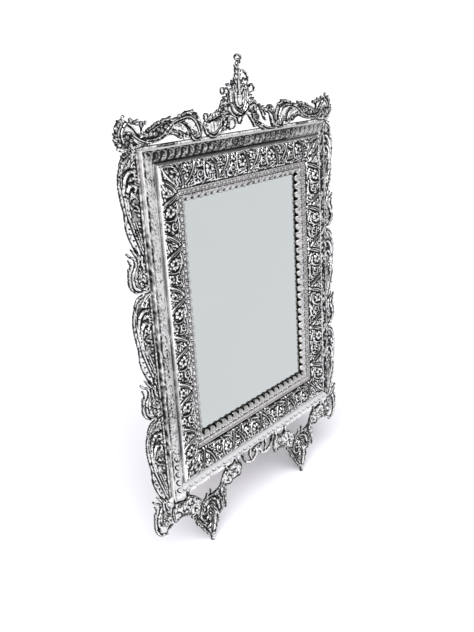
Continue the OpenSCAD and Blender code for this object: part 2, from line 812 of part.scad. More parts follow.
module hinge_pin() {
    color(steel)
        leaning()
            translate([0, axis_y, hinge_z])
                rod_x(hinge_pin_r, -hinge_w / 2 - 0.5, hinge_w / 2 + 0.5);
}

// --- strut -----------------------------------------------------------------------------------

strut_len = hinge_height / cos(strut_tilt) + 12;

// The plank before its foot is cut level
module strut_plank() {
    on_strut()
        slab(slot_half, slot_half + strut_t)
            polygon([
                [-strut_top_w / 2, -leaf_gap - 1], [strut_top_w / 2, -leaf_gap - 1],
                [strut_foot_w / 2, -strut_len], [-strut_foot_w / 2, -strut_len]
            ]);
}

module level_slab(z_from, z_to) {
    translate([-far, -far, z_from])
        cube([2 * far, 2 * far, z_to - z_from]);
}

module easel_strut() {
    color(walnut)
        difference() {
            strut_plank();
            level_slab(-far, pad_t);
            strut_screw_places() screw_hole(screw_bite);
        }
}

module strut_pad() {
    color("#3a2a20")
        intersection() {
            strut_plank();
            level_slab(0, pad_t);
        }
}

// --- wire stay -------------------------------------------------------------------------------

lug_x = ear_x + lug_t + lug_foot * 0.55;

module stay_lugs() {
    board = -hinge_stand;
    color(brass)
        leaning()
            translate([0, axis_y, stay_pivot_z])
                for (s = [-1, 1])
                    mirror([s < 0 ? 1 : 0, 0, 0])
                        difference() {
                            union() {
                                block([ear_x, ear_x + lug_t + lug_foot], [board, board + plate_t], [-3.6, 3.6]);
                                block([ear_x, ear_x + lug_t], [board, 0], [-ear_r, ear_r]);
                                rod_x(ear_r, ear_x, ear_x + lug_t);
                            }
                            rod_x(wire_r + pivot_gap, 0, stay_w);
                            translate([lug_x, board + plate_t, 0]) screw_hole(plate_t + 1);
                        }
}

module wire_stay() {
    half = stay_w / 2;
    color(steel)
        leaning()
            translate([0, axis_y, stay_pivot_z])
                rotate([2 * strut_open, 0, 0]) {
                    rod_x(wire_r, half, ear_x + lug_t + 1);
                    rod_x(wire_r, -ear_x - lug_t - 1, -half);
                    translate([0, 0, -stay_len]) rod_x(wire_r, -half, half);
                    for (s = [-1, 1]) {
                        translate([s * half, 0, -stay_len]) cylinder(r = wire_r, h = stay_len);
                        translate([s * half, 0, -stay_len]) sphere(r = wire_r);
                        translate([s * half, 0, 0]) sphere(r = wire_r);
                    }
                }
}

keeper_top = -stay_reach_open + wire_r + slide_gap;
keeper_bottom = -stay_reach_shut - wire_r - slide_gap;

module stay_keeper() {
    x = [-keeper_w / 2, keeper_w / 2];
    face = slot_half;
    color(brass)
        on_strut()
            difference() {
                union() {
                    block(x, [face - plate_t, face], [keeper_top, keeper_top + keeper_foot]);
                    block(x, [face - plate_t, face], [keeper_bottom - keeper_foot, keeper_bottom]);
                    block(x, [-face - plate_t, -face], [keeper_bottom - plate_t, keeper_top + plate_t]);
                    block(x, [-face - plate_t, face], [keeper_top, keeper_top + plate_t]);
                    block(x, [-face - plate_t, face], [keeper_bottom - plate_t, keeper_bottom]);
                }
                for (z = [keeper_top + keeper_foot * 0.6, keeper_bottom - keeper_foot * 0.6])
                    translate([0, face - plate_t, z])
                        rotate([180, 0, 0])
                            screw_hole(plate_t + 1);
            }
}

// --- small screws in board and strut -----------------------------------------------------------

module board_screw_places() {
    for (x = hinge_screws_x)
        translate([x, rail_back_y, hinge_z + hinge_screw_z]) children();
    for (s = [-1, 1])
        translate([s * lug_x, rail_back_y, stay_pivot_z]) children();
}

module strut_screw_places() {
    on_strut() {
        for (x = hinge_screws_x)
            translate([x, slot_half, -hinge_screw_z]) rotate([180, 0, 0]) children();
        for (z = [keeper_top + keeper_foot * 0.6, keeper_bottom - keeper_foot * 0.6])
            translate([0, slot_half, z]) rotate([180, 0, 0]) children();
    }
}

module board_screws() {
    color(brass)
        leaning()
            board_screw_places()
                translate([0, plate_t, 0])
                    screw(plate_t, screw_bite - 0.2);
}

module strut_screws() {
    color(brass)
        strut_screw_places()
            translate([0, plate_t, 0])
                screw(plate_t, screw_bite - 0.2);
}

// --- nodes -----------------------------------------------------------------------------------

rail("top");  // rail_top
rail("bottom");  // rail_bottom
rail("left");  // rail_left
rail("right");  // rail_right
edge_band("top");  // edge_band_top
edge_band("bottom");  // edge_band_bottom
edge_band("left");  // edge_band_left
edge_band("right");  // edge_band_right
gadroon("top");  // gadroon_top
gadroon("bottom");  // gadroon_bottom
gadroon("left");  // gadroon_left
gadroon("right");  // gadroon_right
floral_band("top");  // floral_band_top
floral_band("bottom");  // floral_band_bottom
floral_band("left");  // floral_band_left
floral_band("right");  // floral_band_right
fillet_strip("top");  // fillet_top
fillet_strip("bottom");  // fillet_bottom
fillet_strip("left");  // fillet_left
fillet_strip("right");  // fillet_right
leaf_edge("top");  // leaf_edge_top
leaf_edge("bottom");  // leaf_edge_bottom
leaf_edge("left");  // leaf_edge_left
leaf_edge("right");  // leaf_edge_right
mirror_plate();
felt_sheet();
back_board();
crest_centre();
crest_wing(-1);  // crest_wing_left
crest_wing(1);  // crest_wing_right
side_scroll(-1, 0);  // side_scroll_left_upper
side_scroll(-1, 1);  // side_scroll_left_middle
side_scroll(-1, 2);  // side_scroll_left_lower
side_scroll(1, 0);  // side_scroll_right_upper
side_scroll(1, 1);  // side_scroll_right_middle
side_scroll(1, 2);  // side_scroll_right_lower
apron_centre();
scroll_foot(-1);  // scroll_foot_left
scroll_foot(1);  // scroll_foot_right
openwork_screws();
turn_button("top");  // turn_button_top
turn_button("bottom");  // turn_button_bottom
turn_button("left_upper");  // turn_button_left_upper
turn_button("left_lower");  // turn_button_left_lower
turn_button("right_upper");  // turn_button_right_upper
turn_button("right_lower");  // turn_button_right_lower
turn_button_screws();
hinge_leaf_board();
hinge_leaf_strut();
hinge_pin();
stay_lugs();
wire_stay();
stay_keeper();
easel_strut();
strut_pad();
board_screws();
strut_screws();
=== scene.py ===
"""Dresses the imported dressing-table mirror: chased silver mouldings, cast openwork, wood, brass and a soft studio."""

import logging
import math
from dataclasses import dataclass, replace
from enum import Enum
from typing import Callable, Iterator, Mapping, Sequence

import bmesh
import bpy
import numpy as np
from mathutils import Matrix, Vector

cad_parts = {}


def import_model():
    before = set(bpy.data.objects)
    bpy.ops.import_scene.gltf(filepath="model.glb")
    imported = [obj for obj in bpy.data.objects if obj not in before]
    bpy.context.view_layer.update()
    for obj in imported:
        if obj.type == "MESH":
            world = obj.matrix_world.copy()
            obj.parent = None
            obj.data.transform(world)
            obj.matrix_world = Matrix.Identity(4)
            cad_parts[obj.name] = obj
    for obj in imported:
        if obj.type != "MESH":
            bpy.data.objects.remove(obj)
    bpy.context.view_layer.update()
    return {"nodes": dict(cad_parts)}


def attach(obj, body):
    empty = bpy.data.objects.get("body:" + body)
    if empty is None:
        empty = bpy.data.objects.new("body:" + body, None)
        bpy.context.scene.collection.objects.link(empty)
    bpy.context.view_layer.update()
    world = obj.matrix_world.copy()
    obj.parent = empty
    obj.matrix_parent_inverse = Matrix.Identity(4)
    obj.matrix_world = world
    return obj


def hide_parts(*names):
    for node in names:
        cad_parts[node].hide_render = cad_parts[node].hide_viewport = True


LOG = logging.getLogger("dressing_mirror")
MM = 0.001
Array = np.ndarray
Field = Callable[..., np.ndarray]
Points = Sequence[tuple[float, float]]
Triple = tuple[float, float, float]
Cut = tuple[Points, float]
Material = bpy.types.Material
Object = bpy.types.Object
Socket = bpy.types.NodeSocket


# ------------------------------------------------------------------ sizes and places


class Side(Enum):
    """The four sides of the frame."""

    TOP = "top"
    BOTTOM = "bottom"
    LEFT = "left"
    RIGHT = "right"

    @property
    def level(self) -> bool:
        """Tells whether the side runs across."""
        return self in (Side.TOP, Side.BOTTOM)


@dataclass(frozen=True)
class Stance:
    """How the upright frame stands: leant back, in millimetres over the ground."""

    lean_deg: float = 6.0
    centre_y: float = -42.7899
    centre_z: float = 255.64349

    def matrix(self) -> Array:
        """Gives the turn from the upright frame to the room."""
        a = math.radians(self.lean_deg)
        return np.array([[1, 0, 0], [0, math.cos(a), math.sin(a)], [0, -math.sin(a), math.cos(a)]])

    def stand(self, local: Array) -> Array:
        """Takes points of the upright frame to the room.

        Args:
            local: Points in millimetres, one to a row: across, backwards, up.

        Returns:
            The same points in metres, in the shared frame.
        """
        return (local @ self.matrix().T + np.array([0.0, self.centre_y, self.centre_z])) * MM

    def turn(self, local: Sequence[float]) -> Vector:
        """Turns a direction of the upright frame into the room."""
        return Vector(self.matrix() @ np.array(local, float))


@dataclass(frozen=True)
class FrameSizes:
    """Sizes of the moulded frame, as insets from its outer edge and depths from the front."""

    width: float = 286.0
    height: float = 346.0
    gadroon_in: float = 1.0
    cove_in: float = 11.5
    floral_in: float = 14.5
    fillet_in: float = 39.6
    leaf_in: float = 45.4
    sight_in: float = 53.0
    seat_y: float = 2.0
    fillet_seat_y: float = 3.2
    flange_y: float = 6.0
    flange_back_y: float = 8.4
    flange_show: float = 5.5
    flange_in: float = 8.7
    edge_gap: float = 0.3

    def length(self, side: Side) -> float:
        """Gives the outer length of one side."""
        return self.width if side.level else self.height

    def place(self, side: Side, along: Array, depth: Array, out: Array) -> Array:
        """Takes coordinates of one side to the upright frame.

        Args:
            side: The side of the frame.
            along: Distance along the side from its middle.
            depth: Depth from the face of the chased band, backwards.
            out: Distance outwards from the frame's outer edge.

        Returns:
            Points of the upright frame, one to a row, in millimetres.
        """
        away = (self.height if side.level else self.width) / 2 + out
        if side in (Side.BOTTOM, Side.LEFT):
            away = -away
        return np.stack([along, depth, away] if side.level else [away, depth, along], -1)


STANCE = Stance()
SIZES = FrameSizes()


# ------------------------------------------------------------------ curves


def unit(a: Array) -> Array:
    """Keeps values between 0 and 1."""
    return np.clip(a, 0, 1)


def peak(a: Array, half: float) -> Array:
    """Gives 1 where a is 0, and falls straight to 0 at half on either side."""
    return unit(1 - np.abs(a) / half)


def dome(a: Array) -> Array:
    """Gives the height of a half circle over a, which runs from -1 to 1."""
    return np.sqrt(unit(1 - a ** 2))


def bell(a: Array, width: float) -> Array:
    """Gives 1 where a is 0, and falls off softly on either side."""
    return np.exp(-(a / width) ** 2)


def smooth_curve(points: Points, steps: int = 6) -> Array:
    """Runs a smooth curve through the given points.

    Args:
        points: Points that the curve passes through.
        steps: Pieces between one point and the next.

    Returns:
        The curve's points, one to a row.
    """
    p = np.array(points, float)
    out = []
    for i in range(len(p) - 1):
        a, b, c, d = p[max(i - 1, 0)], p[i], p[i + 1], p[min(i + 2, len(p) - 1)]
        for k in range(steps):
            t = k / steps
            out.append(0.5 * (2 * b + (c - a) * t + (2 * a - 5 * b + 4 * c - d) * t * t
                              + (3 * b - a - 3 * c + d) * t ** 3))
    out.append(p[-1])
    return np.array(out)


def spiral(cx: float, cy: float, r0: float, r1: float, start_deg: float, turn_deg: float, n: int = 7) -> Points:
    """Gives the points of a spiral that winds from its outer to its inner end.

    Args:
        cx: Its centre, across.
        cy: Its centre, outwards.
        r0: Radius where it starts.
        r1: Radius where it ends.
        start_deg: Angle where it starts.
        turn_deg: How far it winds, anticlockwise.
        n: Number of points.

    Returns:
        The points, from the start.
    """
    out = []
    for i in range(n):
        f = i / (n - 1)
        a = math.radians(start_deg + turn_deg * f)
        r = r0 + (r1 - r0) * f
        out.append((cx + r * math.cos(a), cy + r * math.sin(a)))
    return out


def blurred(a: Array, sigma: float) -> Array:
    """Blurs a grid by a Gaussian of the given radius in cells.

    Args:
        a: The grid of values.
        sigma: The radius, in cells.

    Returns:
        The blurred grid.
    """
    n = max(1, int(3 * sigma + 0.5))
    k = np.exp(-0.5 * (np.arange(-n, n + 1) / sigma) ** 2)
    k /= k.sum()
    for axis in (0, 1):
        padded = np.pad(a, [(n, n) if i == axis else (0, 0) for i in (0, 1)], mode="edge")
        a = sum(w * np.take(padded, np.arange(i, i + a.shape[axis]), axis) for i, w in enumerate(k))
    return a


def chasing(shape: tuple[int, ...], sigma: float, seed: int) -> Array:
    """Gives soft seeded noise of about unit strength, the trace of the chaser's tools."""
    noise = blurred(np.random.default_rng(seed).standard_normal(shape), sigma)
    return noise / noise.std()


# ------------------------------------------------------------------ relief


class Form(Enum):
    """How a stroke of the relief is worked."""

    ROUND = "round"
    LEAF = "leaf"
    RAIL = "rail"


ROUND, LEAF, RAIL = Form.ROUND, Form.LEAF, Form.RAIL


@dataclass(frozen=True)
class Stroke:
    """One stroke of the relief.

    Its ends are narrower than its middle by the share that tip gives. Lobes are cut into its edge as a share of its
    width, one at every length of teeth.
    """

    points: Points
    width: float
    rise: float = 2.2
    tip: float = 0.5
    form: Form = ROUND
    lobes: float = 0.0
    teeth: float = 3.0

    def section(self, share: Array, side: Array, s: Array) -> Array:
        """Gives the stroke's height across its width.

        Args:
            share: Distance from the middle line, as a share of half the width.
            side: The same distance in millimetres, with a sign for the side it lies on.
            s: Length along the stroke.

        Returns:
            The height, from 0 to 1.
        """
        if self.form is RAIL:
            return 0.3 + 0.7 * np.where(share > 0.36, dome((share - 0.68) / 0.32), 0)
        if self.form is LEAF:
            ribs = np.abs(np.sin(np.pi * (s - np.abs(side) * 0.9) / (self.teeth * 0.5)))
            return dome(share) * (0.66 + 0.2 * ribs + 0.14 * unit(np.abs(side) / 0.5))
        return dome(share)


@dataclass(frozen=True)
class Shift:
    """Carries what is drawn to its place along a side, turned over left to right where turn is -1."""

    x: float = 0.0
    z: float = 0.0
    turn: int = 1

    def line(self, points: Points) -> Points:
        """Moves the points of one line."""
        return [(self.x + self.turn * x, self.z + z) for x, z in points]

    def lines(self, lines: Sequence[Points]) -> list[Points]:
        """Moves several lines or outlines."""
        return [self.line(points) for points in lines]

    def strokes(self, strokes: Sequence[Stroke]) -> list[Stroke]:
        """Moves strokes."""
        return [replace(s, points=self.line(s.points)) for s in strokes]

    def rounds(self, rounds: Sequence[Triple]) -> list[Triple]:
        """Moves beads or flowers, each a place and a radius."""
        return [(*self.line([(x, z)])[0], r) for x, z, r in rounds]

    def cuts(self, cuts: Sequence[Cut]) -> list[Cut]:
        """Moves grooves, each a line and its width."""
        return [(self.line(points), width) for points, width in cuts]


class Relief:
    """A raised pattern on a fine grid, with the outline of the metal that carries it."""

    def __init__(self, x: tuple[float, float], z: tuple[float, float], step: float) -> None:
        """Lays an empty grid.

        Args:
            x: Lowest and highest place along the side.
            z: Lowest and highest place outwards.
            step: Distance between grid points.
        """
        self.step = step
        self.xs = np.arange(x[0], x[1] + step, step)
        self.zs = np.arange(z[0], z[1] + step, step)
        self.rise = np.zeros((len(self.xs), len(self.zs)))
        self.inside = np.full_like(self.rise, -9.0)
        self.cut = np.zeros_like(self.rise)
        self.x_grid, self.z_grid = np.meshgrid(self.xs, self.zs, indexing="ij")

    def _window(self, lo: Array, hi: Array) -> tuple[slice, slice] | None:
        """Finds the part of the grid between two corners, or None where there is none.

        Args:
            lo: The lower left corner.
            hi: The upper right corner.

        Returns:
            The part, as two slices.
        """
        i0, j0 = (int(max(0, (lo[k] - (self.xs, self.zs)[k][0]) / self.step)) for k in (0, 1))
        i1, j1 = (int((hi[k] - (self.xs, self.zs)[k][0]) / self.step) + 2 for k in (0, 1))
        if i1 <= i0 or j1 <= j0 or i0 >= len(self.xs) or j0 >= len(self.zs):
            return None
        return slice(i0, i1), slice(j0, j1)

    def _lay(self, win: tuple[slice, slice], inside: Array, rise: Array) -> None:
        """Lays a shape on the grid, over what is lower there."""
        self.inside[win] = np.maximum(self.inside[win], inside)
        self.rise[win] = np.maximum(self.rise[win], np.where(inside > 0, rise, 0))

    def stroke(self, stroke: Stroke) -> None:
        """Lays one stroke.

        Args:
            stroke: The stroke, in places along the side and outwards.
        """
        for win, off, d, away, s, half in self._along(stroke):
            side = away * np.sign(off[0] * -d[1] + off[1] * d[0])
            self._lay(win, half - away, stroke.rise * stroke.section(unit(away / half), side, s))

    def groove(self, points: Points, width: float, tip: float = 0.3) -> None:
        """Cuts a dark groove into whatever is laid.

        Args:
            points: Points that its middle line passes through.
            width: Its width at the widest place.
            tip: Width of its ends, as a share of the widest place.
        """
        for win, _, _, away, _, half in self._along(Stroke(points, width, tip=tip)):
            self.cut[win] = np.maximum(self.cut[win], unit((half + 0.25 - away) / 0.5))

    def _along(self, stroke: Stroke) -> Iterator[tuple]:
        """Walks along a stroke and gives, for each short piece of it, the places near it.

        Args:
            stroke: The stroke to follow.

        Yields:
            The part of the grid, the offsets from the line and its direction, the distance from it, the length
            along it and half its width there.
        """
        q = smooth_curve(stroke.points)
        seg = np.linalg.norm(np.diff(q, axis=0), axis=1)
        dist = np.concatenate([[0], np.cumsum(seg)])
        for i, (a, b) in enumerate(zip(q[:-1], q[1:])):
            if seg[i] < 1e-6:
                continue
            reach = stroke.width * 0.65 + self.step
            win = self._window(np.minimum(a, b) - reach, np.maximum(a, b) + reach)
            if win is None:
                continue
            gx, gz = self.x_grid[win], self.z_grid[win]
            d = (b - a) / seg[i]
            t = np.clip((gx - a[0]) * d[0] + (gz - a[1]) * d[1], 0, seg[i])
            off = (gx - a[0] - t * d[0], gz - a[1] - t * d[1])
            s = dist[i] + t
            half = stroke.width / 2 * (stroke.tip + (1 - stroke.tip) * np.sin(np.pi * s / dist[-1]))
            if stroke.lobes:
                half = half * (1 - stroke.lobes * np.abs(np.sin(np.pi * s / stroke.teeth)) ** 2)
            yield win, off, d, np.hypot(*off), s, half

    def bead(self, x: float, z: float, r: float, rise: float = 2.0, hollow: float = 0.0) -> None:
        """Lays a round bead, or a ring where hollow is the share of its radius left open.

        Args:
            x: Its place along the side.
            z: Its place outwards.
            r: Its radius.
            rise: Its height.
            hollow: Share of the radius that is left open.
        """
        win = self._window(np.array([x - r, z - r]) - self.step, np.array([x + r, z + r]) + self.step)
        if win is None:
            return
        away = np.hypot(self.x_grid[win] - x, self.z_grid[win] - z)
        if hollow:
            middle, half = r * (1 + hollow) / 2, r * (1 - hollow) / 2
            share = unit(np.abs(away - middle) / half)
            self._lay(win, half - np.abs(away - middle), rise * np.sqrt(1 - share ** 2))
        else:
            self._lay(win, r - away, rise * dome(away / r))

    def flower(self, x: float, z: float, r: float, petals: int = 5, rise: float = 2.0, turn: float = 0.0) -> None:
        """Lays an open flower with cupped petals and a round heart.

        Args:
            x: Its place along the side.
            z: Its place outwards.
            r: Its radius.
            petals: Number of petals.
            rise: Its height.
            turn: Turn of the first petal, in degrees.
        """
        win = self._window(np.array([x - r, z - r]) - self.step, np.array([x + r, z + r]) + self.step)
        if win is None:
            return
        dx, dz = self.x_grid[win] - x, self.z_grid[win] - z
        away = np.hypot(dx, dz) / r
        angle = np.arctan2(dz, dx) - math.radians(turn)
        lobe = np.abs(np.cos(angle * petals / 2))
        edge = 0.62 + 0.38 * lobe ** 0.5
        share = unit(away / edge)
        cup = 0.45 + 0.55 * np.sin(np.pi * unit(share) ** 1.3) ** 0.7
        petal = cup * (0.35 + 0.65 * lobe ** 0.6) * unit((1 - share) * 6)
        heart = dome(away / 0.27) * 1.05
        groove = np.clip((away - 0.27) / 0.1, 0.25, 1)
        self._lay(win, (edge - away) * r, rise * np.where(away < 0.27, heart, petal * groove))

    def plate(self, points: Points, rise: float = 0.0) -> None:
        """Fills a closed outline with plain metal at the given height.

        Args:
            points: The outline's corners.
            rise: Its height.
        """
        p = np.array(points, float)
        win = self._window(p.min(0) - 1, p.max(0) + 1)
        if win is None:
            return
        gx, gz = self.x_grid[win], self.z_grid[win]
        odd = np.zeros(gx.shape, bool)
        near = np.full(gx.shape, 99.0)
        for a, b in zip(p, np.roll(p, -1, 0)):
            d = b - a
            t = unit(((gx - a[0]) * d[0] + (gz - a[1]) * d[1]) / (d @ d + 1e-9))
            near = np.minimum(near, np.hypot(gx - a[0] - t * d[0], gz - a[1] - t * d[1]))
            if a[1] != b[1]:
                crosses = (a[1] > gz) != (b[1] > gz)
                odd ^= crosses & (gx < a[0] + (gz - a[1]) * d[0] / (b[1] - a[1]))
        self._lay(win, np.where(odd, near, -near), np.full(gx.shape, rise))

    def sample(self, values: Array, x: Array, z: Array) -> Array:
        """Reads a grid of values at any places, blending between grid points.

        Args:
            values: A value for each grid point.
            x: Places along the side.
            z: Places outwards.

        Returns:
            The values at those places.
        """
        fx = np.clip((x - self.xs[0]) / self.step, 0, len(self.xs) - 1.001)
        fz = np.clip((z - self.zs[0]) / self.step, 0, len(self.zs) - 1.001)
        i, j = fx.astype(int), fz.astype(int)
        u, v = fx - i, fz - j
        return ((1 - u) * (1 - v) * values[i, j] + u * (1 - v) * values[i + 1, j]
                + (1 - u) * v * values[i, j + 1] + u * v * values[i + 1, j + 1])

    def tarnish(self, height: Array, reach: float = 1.4, depth: float = 0.75) -> Array:
        """Tells how deep each place lies under what is round it, from 0 to 1.

        Args:
            height: Height at each grid point.
            reach: How far round it is looked, in millimetres.
            depth: How deep a hollow has to be to count in full.

        Returns:
            The tarnish at each grid point.
        """
        low = blurred(height, reach / self.step) - height
        fine = blurred(height, 0.45 * reach / self.step) - height
        return unit((low + 0.8 * fine) / depth)


def mesh_object(name: str, verts: Array, quads: Array, loose: Sequence[Sequence[int]] = (),
                tarnish: Array | None = None, sharp_deg: float = 70.0) -> Object:
    """Makes an object from arrays of points and faces.

    Args:
        name: The object's name.
        verts: Points in metres.
        quads: Four-cornered faces, one to a row.
        loose: Faces with other numbers of corners.
        tarnish: A value for each point, tarnish together with painted shade and painted light, kept as the attribute
            that the silver reads.
        sharp_deg: Edges that turn by more than this stay sharp.

    Returns:
        The new object, linked to the scene.
    """
    mesh = bpy.data.meshes.new(name)
    sizes = np.concatenate([np.full(len(quads), 4), [len(f) for f in loose]]).astype(np.int32)
    flat = np.concatenate([quads.ravel(), *[np.array(f) for f in loose]]).astype(np.int32)
    mesh.vertices.add(len(verts))
    mesh.vertices.foreach_set("co", verts.astype(np.float32).ravel())
    mesh.loops.add(len(flat))
    mesh.loops.foreach_set("vertex_index", flat)
    mesh.polygons.add(len(sizes))
    mesh.polygons.foreach_set("loop_start", (np.cumsum(sizes) - sizes).astype(np.int32))
    mesh.polygons.foreach_set("use_smooth", np.ones(len(sizes), bool))
    mesh.update(calc_edges=True)
    mesh.validate()
    if tarnish is not None:
        mesh.attributes.new("tarnish", "FLOAT", "POINT").data.foreach_set("value", tarnish.astype(np.float32))
    mesh.set_sharp_from_angle(angle=math.radians(sharp_deg))
    obj = bpy.data.objects.new(name, mesh)
    bpy.context.scene.collection.objects.link(obj)
    return obj


def outlined_mesh(name: str, relief: Relief, front: Array, back: Array, place: Field,
                  tarnish: Array, flip: bool) -> Object:
    """Cuts the relief out along its outline and closes it with walls and a back.

    Args:
        name: The object's name.
        relief: The relief, whose inside field gives the outline.
        front: Depth of the front face at each grid point.
        back: Depth of the back face at each grid point.
        place: Takes grid places and depths to the upright frame.
        tarnish: Tarnish, painted shade and painted light at each grid point.
        flip: True where the side's own axes make a left-handed place.

    Returns:
        The closed object.
    """
    g = relief.inside
    keep = (g[:-1, :-1] + g[1:, :-1] + g[1:, 1:] + g[:-1, 1:]) > 0
    nz = g.shape[1]
    i, j = np.nonzero(keep)
    a = i * nz + j
    quads = np.stack([a, a + nz, a + nz + 1, a + 1], 1)
    used = np.zeros(g.size, bool)
    used[quads.ravel()] = True
    count = np.bincount(quads.ravel(), minlength=g.size)
    edge = used & (count < 4)
    dx, dz = np.gradient(g, relief.step)
    size = np.maximum(dx ** 2 + dz ** 2, 0.2)
    move = np.clip(g, -0.7 * relief.step, 0.7 * relief.step)
    x = np.where(edge.reshape(g.shape), relief.x_grid - move * dx / size, relief.x_grid).ravel()
    z = np.where(edge.reshape(g.shape), relief.z_grid - move * dz / size, relief.z_grid).ravel()
    index = np.full(g.size, -1)
    index[used] = np.arange(used.sum())
    n = int(used.sum())
    top = index[quads]
    pairs = np.concatenate([top[:, [0, 1]], top[:, [1, 2]], top[:, [2, 3]], top[:, [3, 0]]])
    key = pairs[:, 0] * (2 * n) + pairs[:, 1]
    twin = pairs[:, 1] * (2 * n) + pairs[:, 0]
    rim = pairs[~np.isin(key, twin)]
    walls = np.stack([rim[:, 1], rim[:, 0], rim[:, 0] + n, rim[:, 1] + n], 1)
    faces = np.concatenate([top, top[:, ::-1] + n, walls])
    if flip:
        faces = faces[:, ::-1]
    pts = np.concatenate([place(x[used], front.ravel()[used], z[used]), place(x[used], back.ravel()[used], z[used])])
    rough = blurred(chasing(g.shape, 2.0, g.shape[0]), 1.0).ravel()[used]
    tarnish_and_painted_light = np.concatenate([tarnish.ravel()[used], np.clip(0.17 + 0.025 * rough, 0.05, 0.6)])
    return mesh_object(name, STANCE.stand(pts), faces, tarnish=tarnish_and_painted_light)


def strip_mesh(name: str, side: Side, rows: Array, columns: int, depth: Field,
               tarnish: Field, seat: float) -> Object:
    """Makes a mitred moulding along one side, closed by its walls and a flat underside.

    Args:
        name: The object's name.
        side: The side that it runs along.
        rows: Insets from the outer edge, in order.
        columns: Number of steps along the side.
        depth: Gives the depth of the face for places along and insets.
        tarnish: Gives the tarnish, with painted shade and painted light, for places along and insets.
        seat: Depth of the underside.

    Returns:
        The closed object.
    """
    half = SIZES.length(side) / 2
    u = np.linspace(-1, 1, columns + 1)
    inset = np.broadcast_to(rows[:, None], (len(rows), columns + 1))
    along = u[None, :] * (half - inset)
    y = depth(along, inset)
    tarnish_and_painted_light = tarnish(along, inset)
    n_cols = columns + 1
    top = SIZES.place(side, along.ravel(), y.ravel(), -inset.ravel())
    low = [SIZES.place(side, along[k], np.full(n_cols, seat), -inset[k]) for k in (0, -1)]
    verts = np.concatenate([top, *low])
    i, j = np.meshgrid(np.arange(len(rows) - 1), np.arange(columns), indexing="ij")
    a = (i * n_cols + j).ravel()
    faces = [np.stack([a, a + 1, a + n_cols + 1, a + n_cols], 1)]
    base0 = len(rows) * n_cols
    base1 = base0 + n_cols
    k = np.arange(columns)
    last = (len(rows) - 1) * n_cols
    faces.append(np.stack([k + 1, k, base0 + k, base0 + k + 1], 1))
    faces.append(np.stack([last + k, last + k + 1, base1 + k + 1, base1 + k], 1))
    faces.append(np.stack([base0 + k + 1, base0 + k, base1 + k, base1 + k + 1], 1))
    start = [r * n_cols for r in range(len(rows))]
    end = [r * n_cols + columns for r in range(len(rows))]
    ends = [[*start, base1, base0], [*end[::-1], base0 + columns, base1 + columns]]
    quads = np.concatenate(faces)
    if side in (Side.TOP, Side.LEFT):
        quads = quads[:, ::-1]
        ends = [e[::-1] for e in ends]
    tarnish_and_painted_light = np.concatenate([tarnish_and_painted_light.ravel(), tarnish_and_painted_light[0] * 0 + 0.15, tarnish_and_painted_light[-1] * 0 + 0.6])
    return mesh_object(name, STANCE.stand(verts), quads, ends, tarnish_and_painted_light)


# ------------------------------------------------------------------ finishes


class NodeKit:
    """Adds nodes to one tree and fills their sockets."""

    def __init__(self, tree: bpy.types.NodeTree) -> None:
        """Takes up the tree of a material or of the world."""
        self.tree = tree

    def fill(self, socket: Socket, value: object) -> None:
        """Links a socket to another, or sets it to a plain value.

        Args:
            socket: The socket to fill.
            value: Another socket, or a number, a vector or a colour.
        """
        if isinstance(value, Socket):
            self.tree.links.new(value, socket)
        else:
            socket.default_value = value

    def add(self, kind: str, inputs: Mapping[str | int, object] | None = None, **settings: object) -> bpy.types.Node:
        """Adds a node.

        Args:
            kind: The node's type, without its common prefix.
            inputs: What its sockets are filled with.
            **settings: Its properties.

        Returns:
            The node.
        """
        node = self.tree.nodes.new("ShaderNode" + kind)
        for key, value in settings.items():
            setattr(node, key, value)
        for key, value in (inputs or {}).items():
            self.fill(node.inputs[key], value)
        return node

    def math(self, operation: str, a: object, b: object = 0.0, clamp: bool = False) -> Socket:
        """Combines two values, each a socket or a number."""
        return self.add("Math", {0: a, 1: b}, operation=operation, use_clamp=clamp).outputs["Value"]

    def plus(self, a: object, b: object, share: float, clamp: bool = False) -> Socket:
        """Adds a share of b to a."""
        return self.math("ADD", a, self.math("MULTIPLY", b, share), clamp)


class Surface(NodeKit):
    """One procedural material with a principled surface."""

    def __init__(self, name: str) -> None:
        """Starts the material.

        Args:
            name: The material's name.
        """
        self.material = bpy.data.materials.new(name)
        self.material.use_nodes = True
        super().__init__(self.material.node_tree)
        self.object_space = self.add("TexCoord").outputs["Object"]

    def feed(self, name: str, value: object) -> None:
        """Fills one socket of the surface."""
        self.fill(self.tree.nodes["Principled BSDF"].inputs[name], value)

    def noise(self, scale: float, detail: float = 4.0, rough: float = 0.55,
              stretch: Triple = (1, 1, 1)) -> Socket:
        """Adds noise in the object's own space.

        Args:
            scale: How fine it is, in parts to the metre.
            detail: How many finer layers it has.
            rough: How strong the finer layers are.
            stretch: Its scale along each axis.

        Returns:
            The noise's value.
        """
        place = self.add("Mapping", {"Vector": self.object_space, "Scale": stretch}).outputs["Vector"]
        noise = self.add("TexNoise", {"Vector": place, "Scale": scale, "Detail": detail, "Roughness": rough})
        return noise.outputs["Fac"]

    def colour(self, value: Socket, stops: Sequence[tuple[float, Triple]]) -> None:
        """Colours the surface by a value, blending between stops.

        Args:
            value: The value.
            stops: Places on it, from 0 to 1, with their colours.
        """
        node = self.add("ValToRGB", {"Fac": value})
        while len(node.color_ramp.elements) < len(stops):
            node.color_ramp.elements.new(0.5)
        for element, (place, colour) in zip(node.color_ramp.elements, stops):
            element.position = place
            element.color = (*colour, 1.0)
        self.feed("Base Color", node.outputs["Color"])

    def bump(self, height: Socket, distance: float) -> None:
        """Adds fine unevenness to the surface."""
        self.feed("Normal", self.add("Bump", {"Height": height, "Distance": distance}).outputs["Normal"])


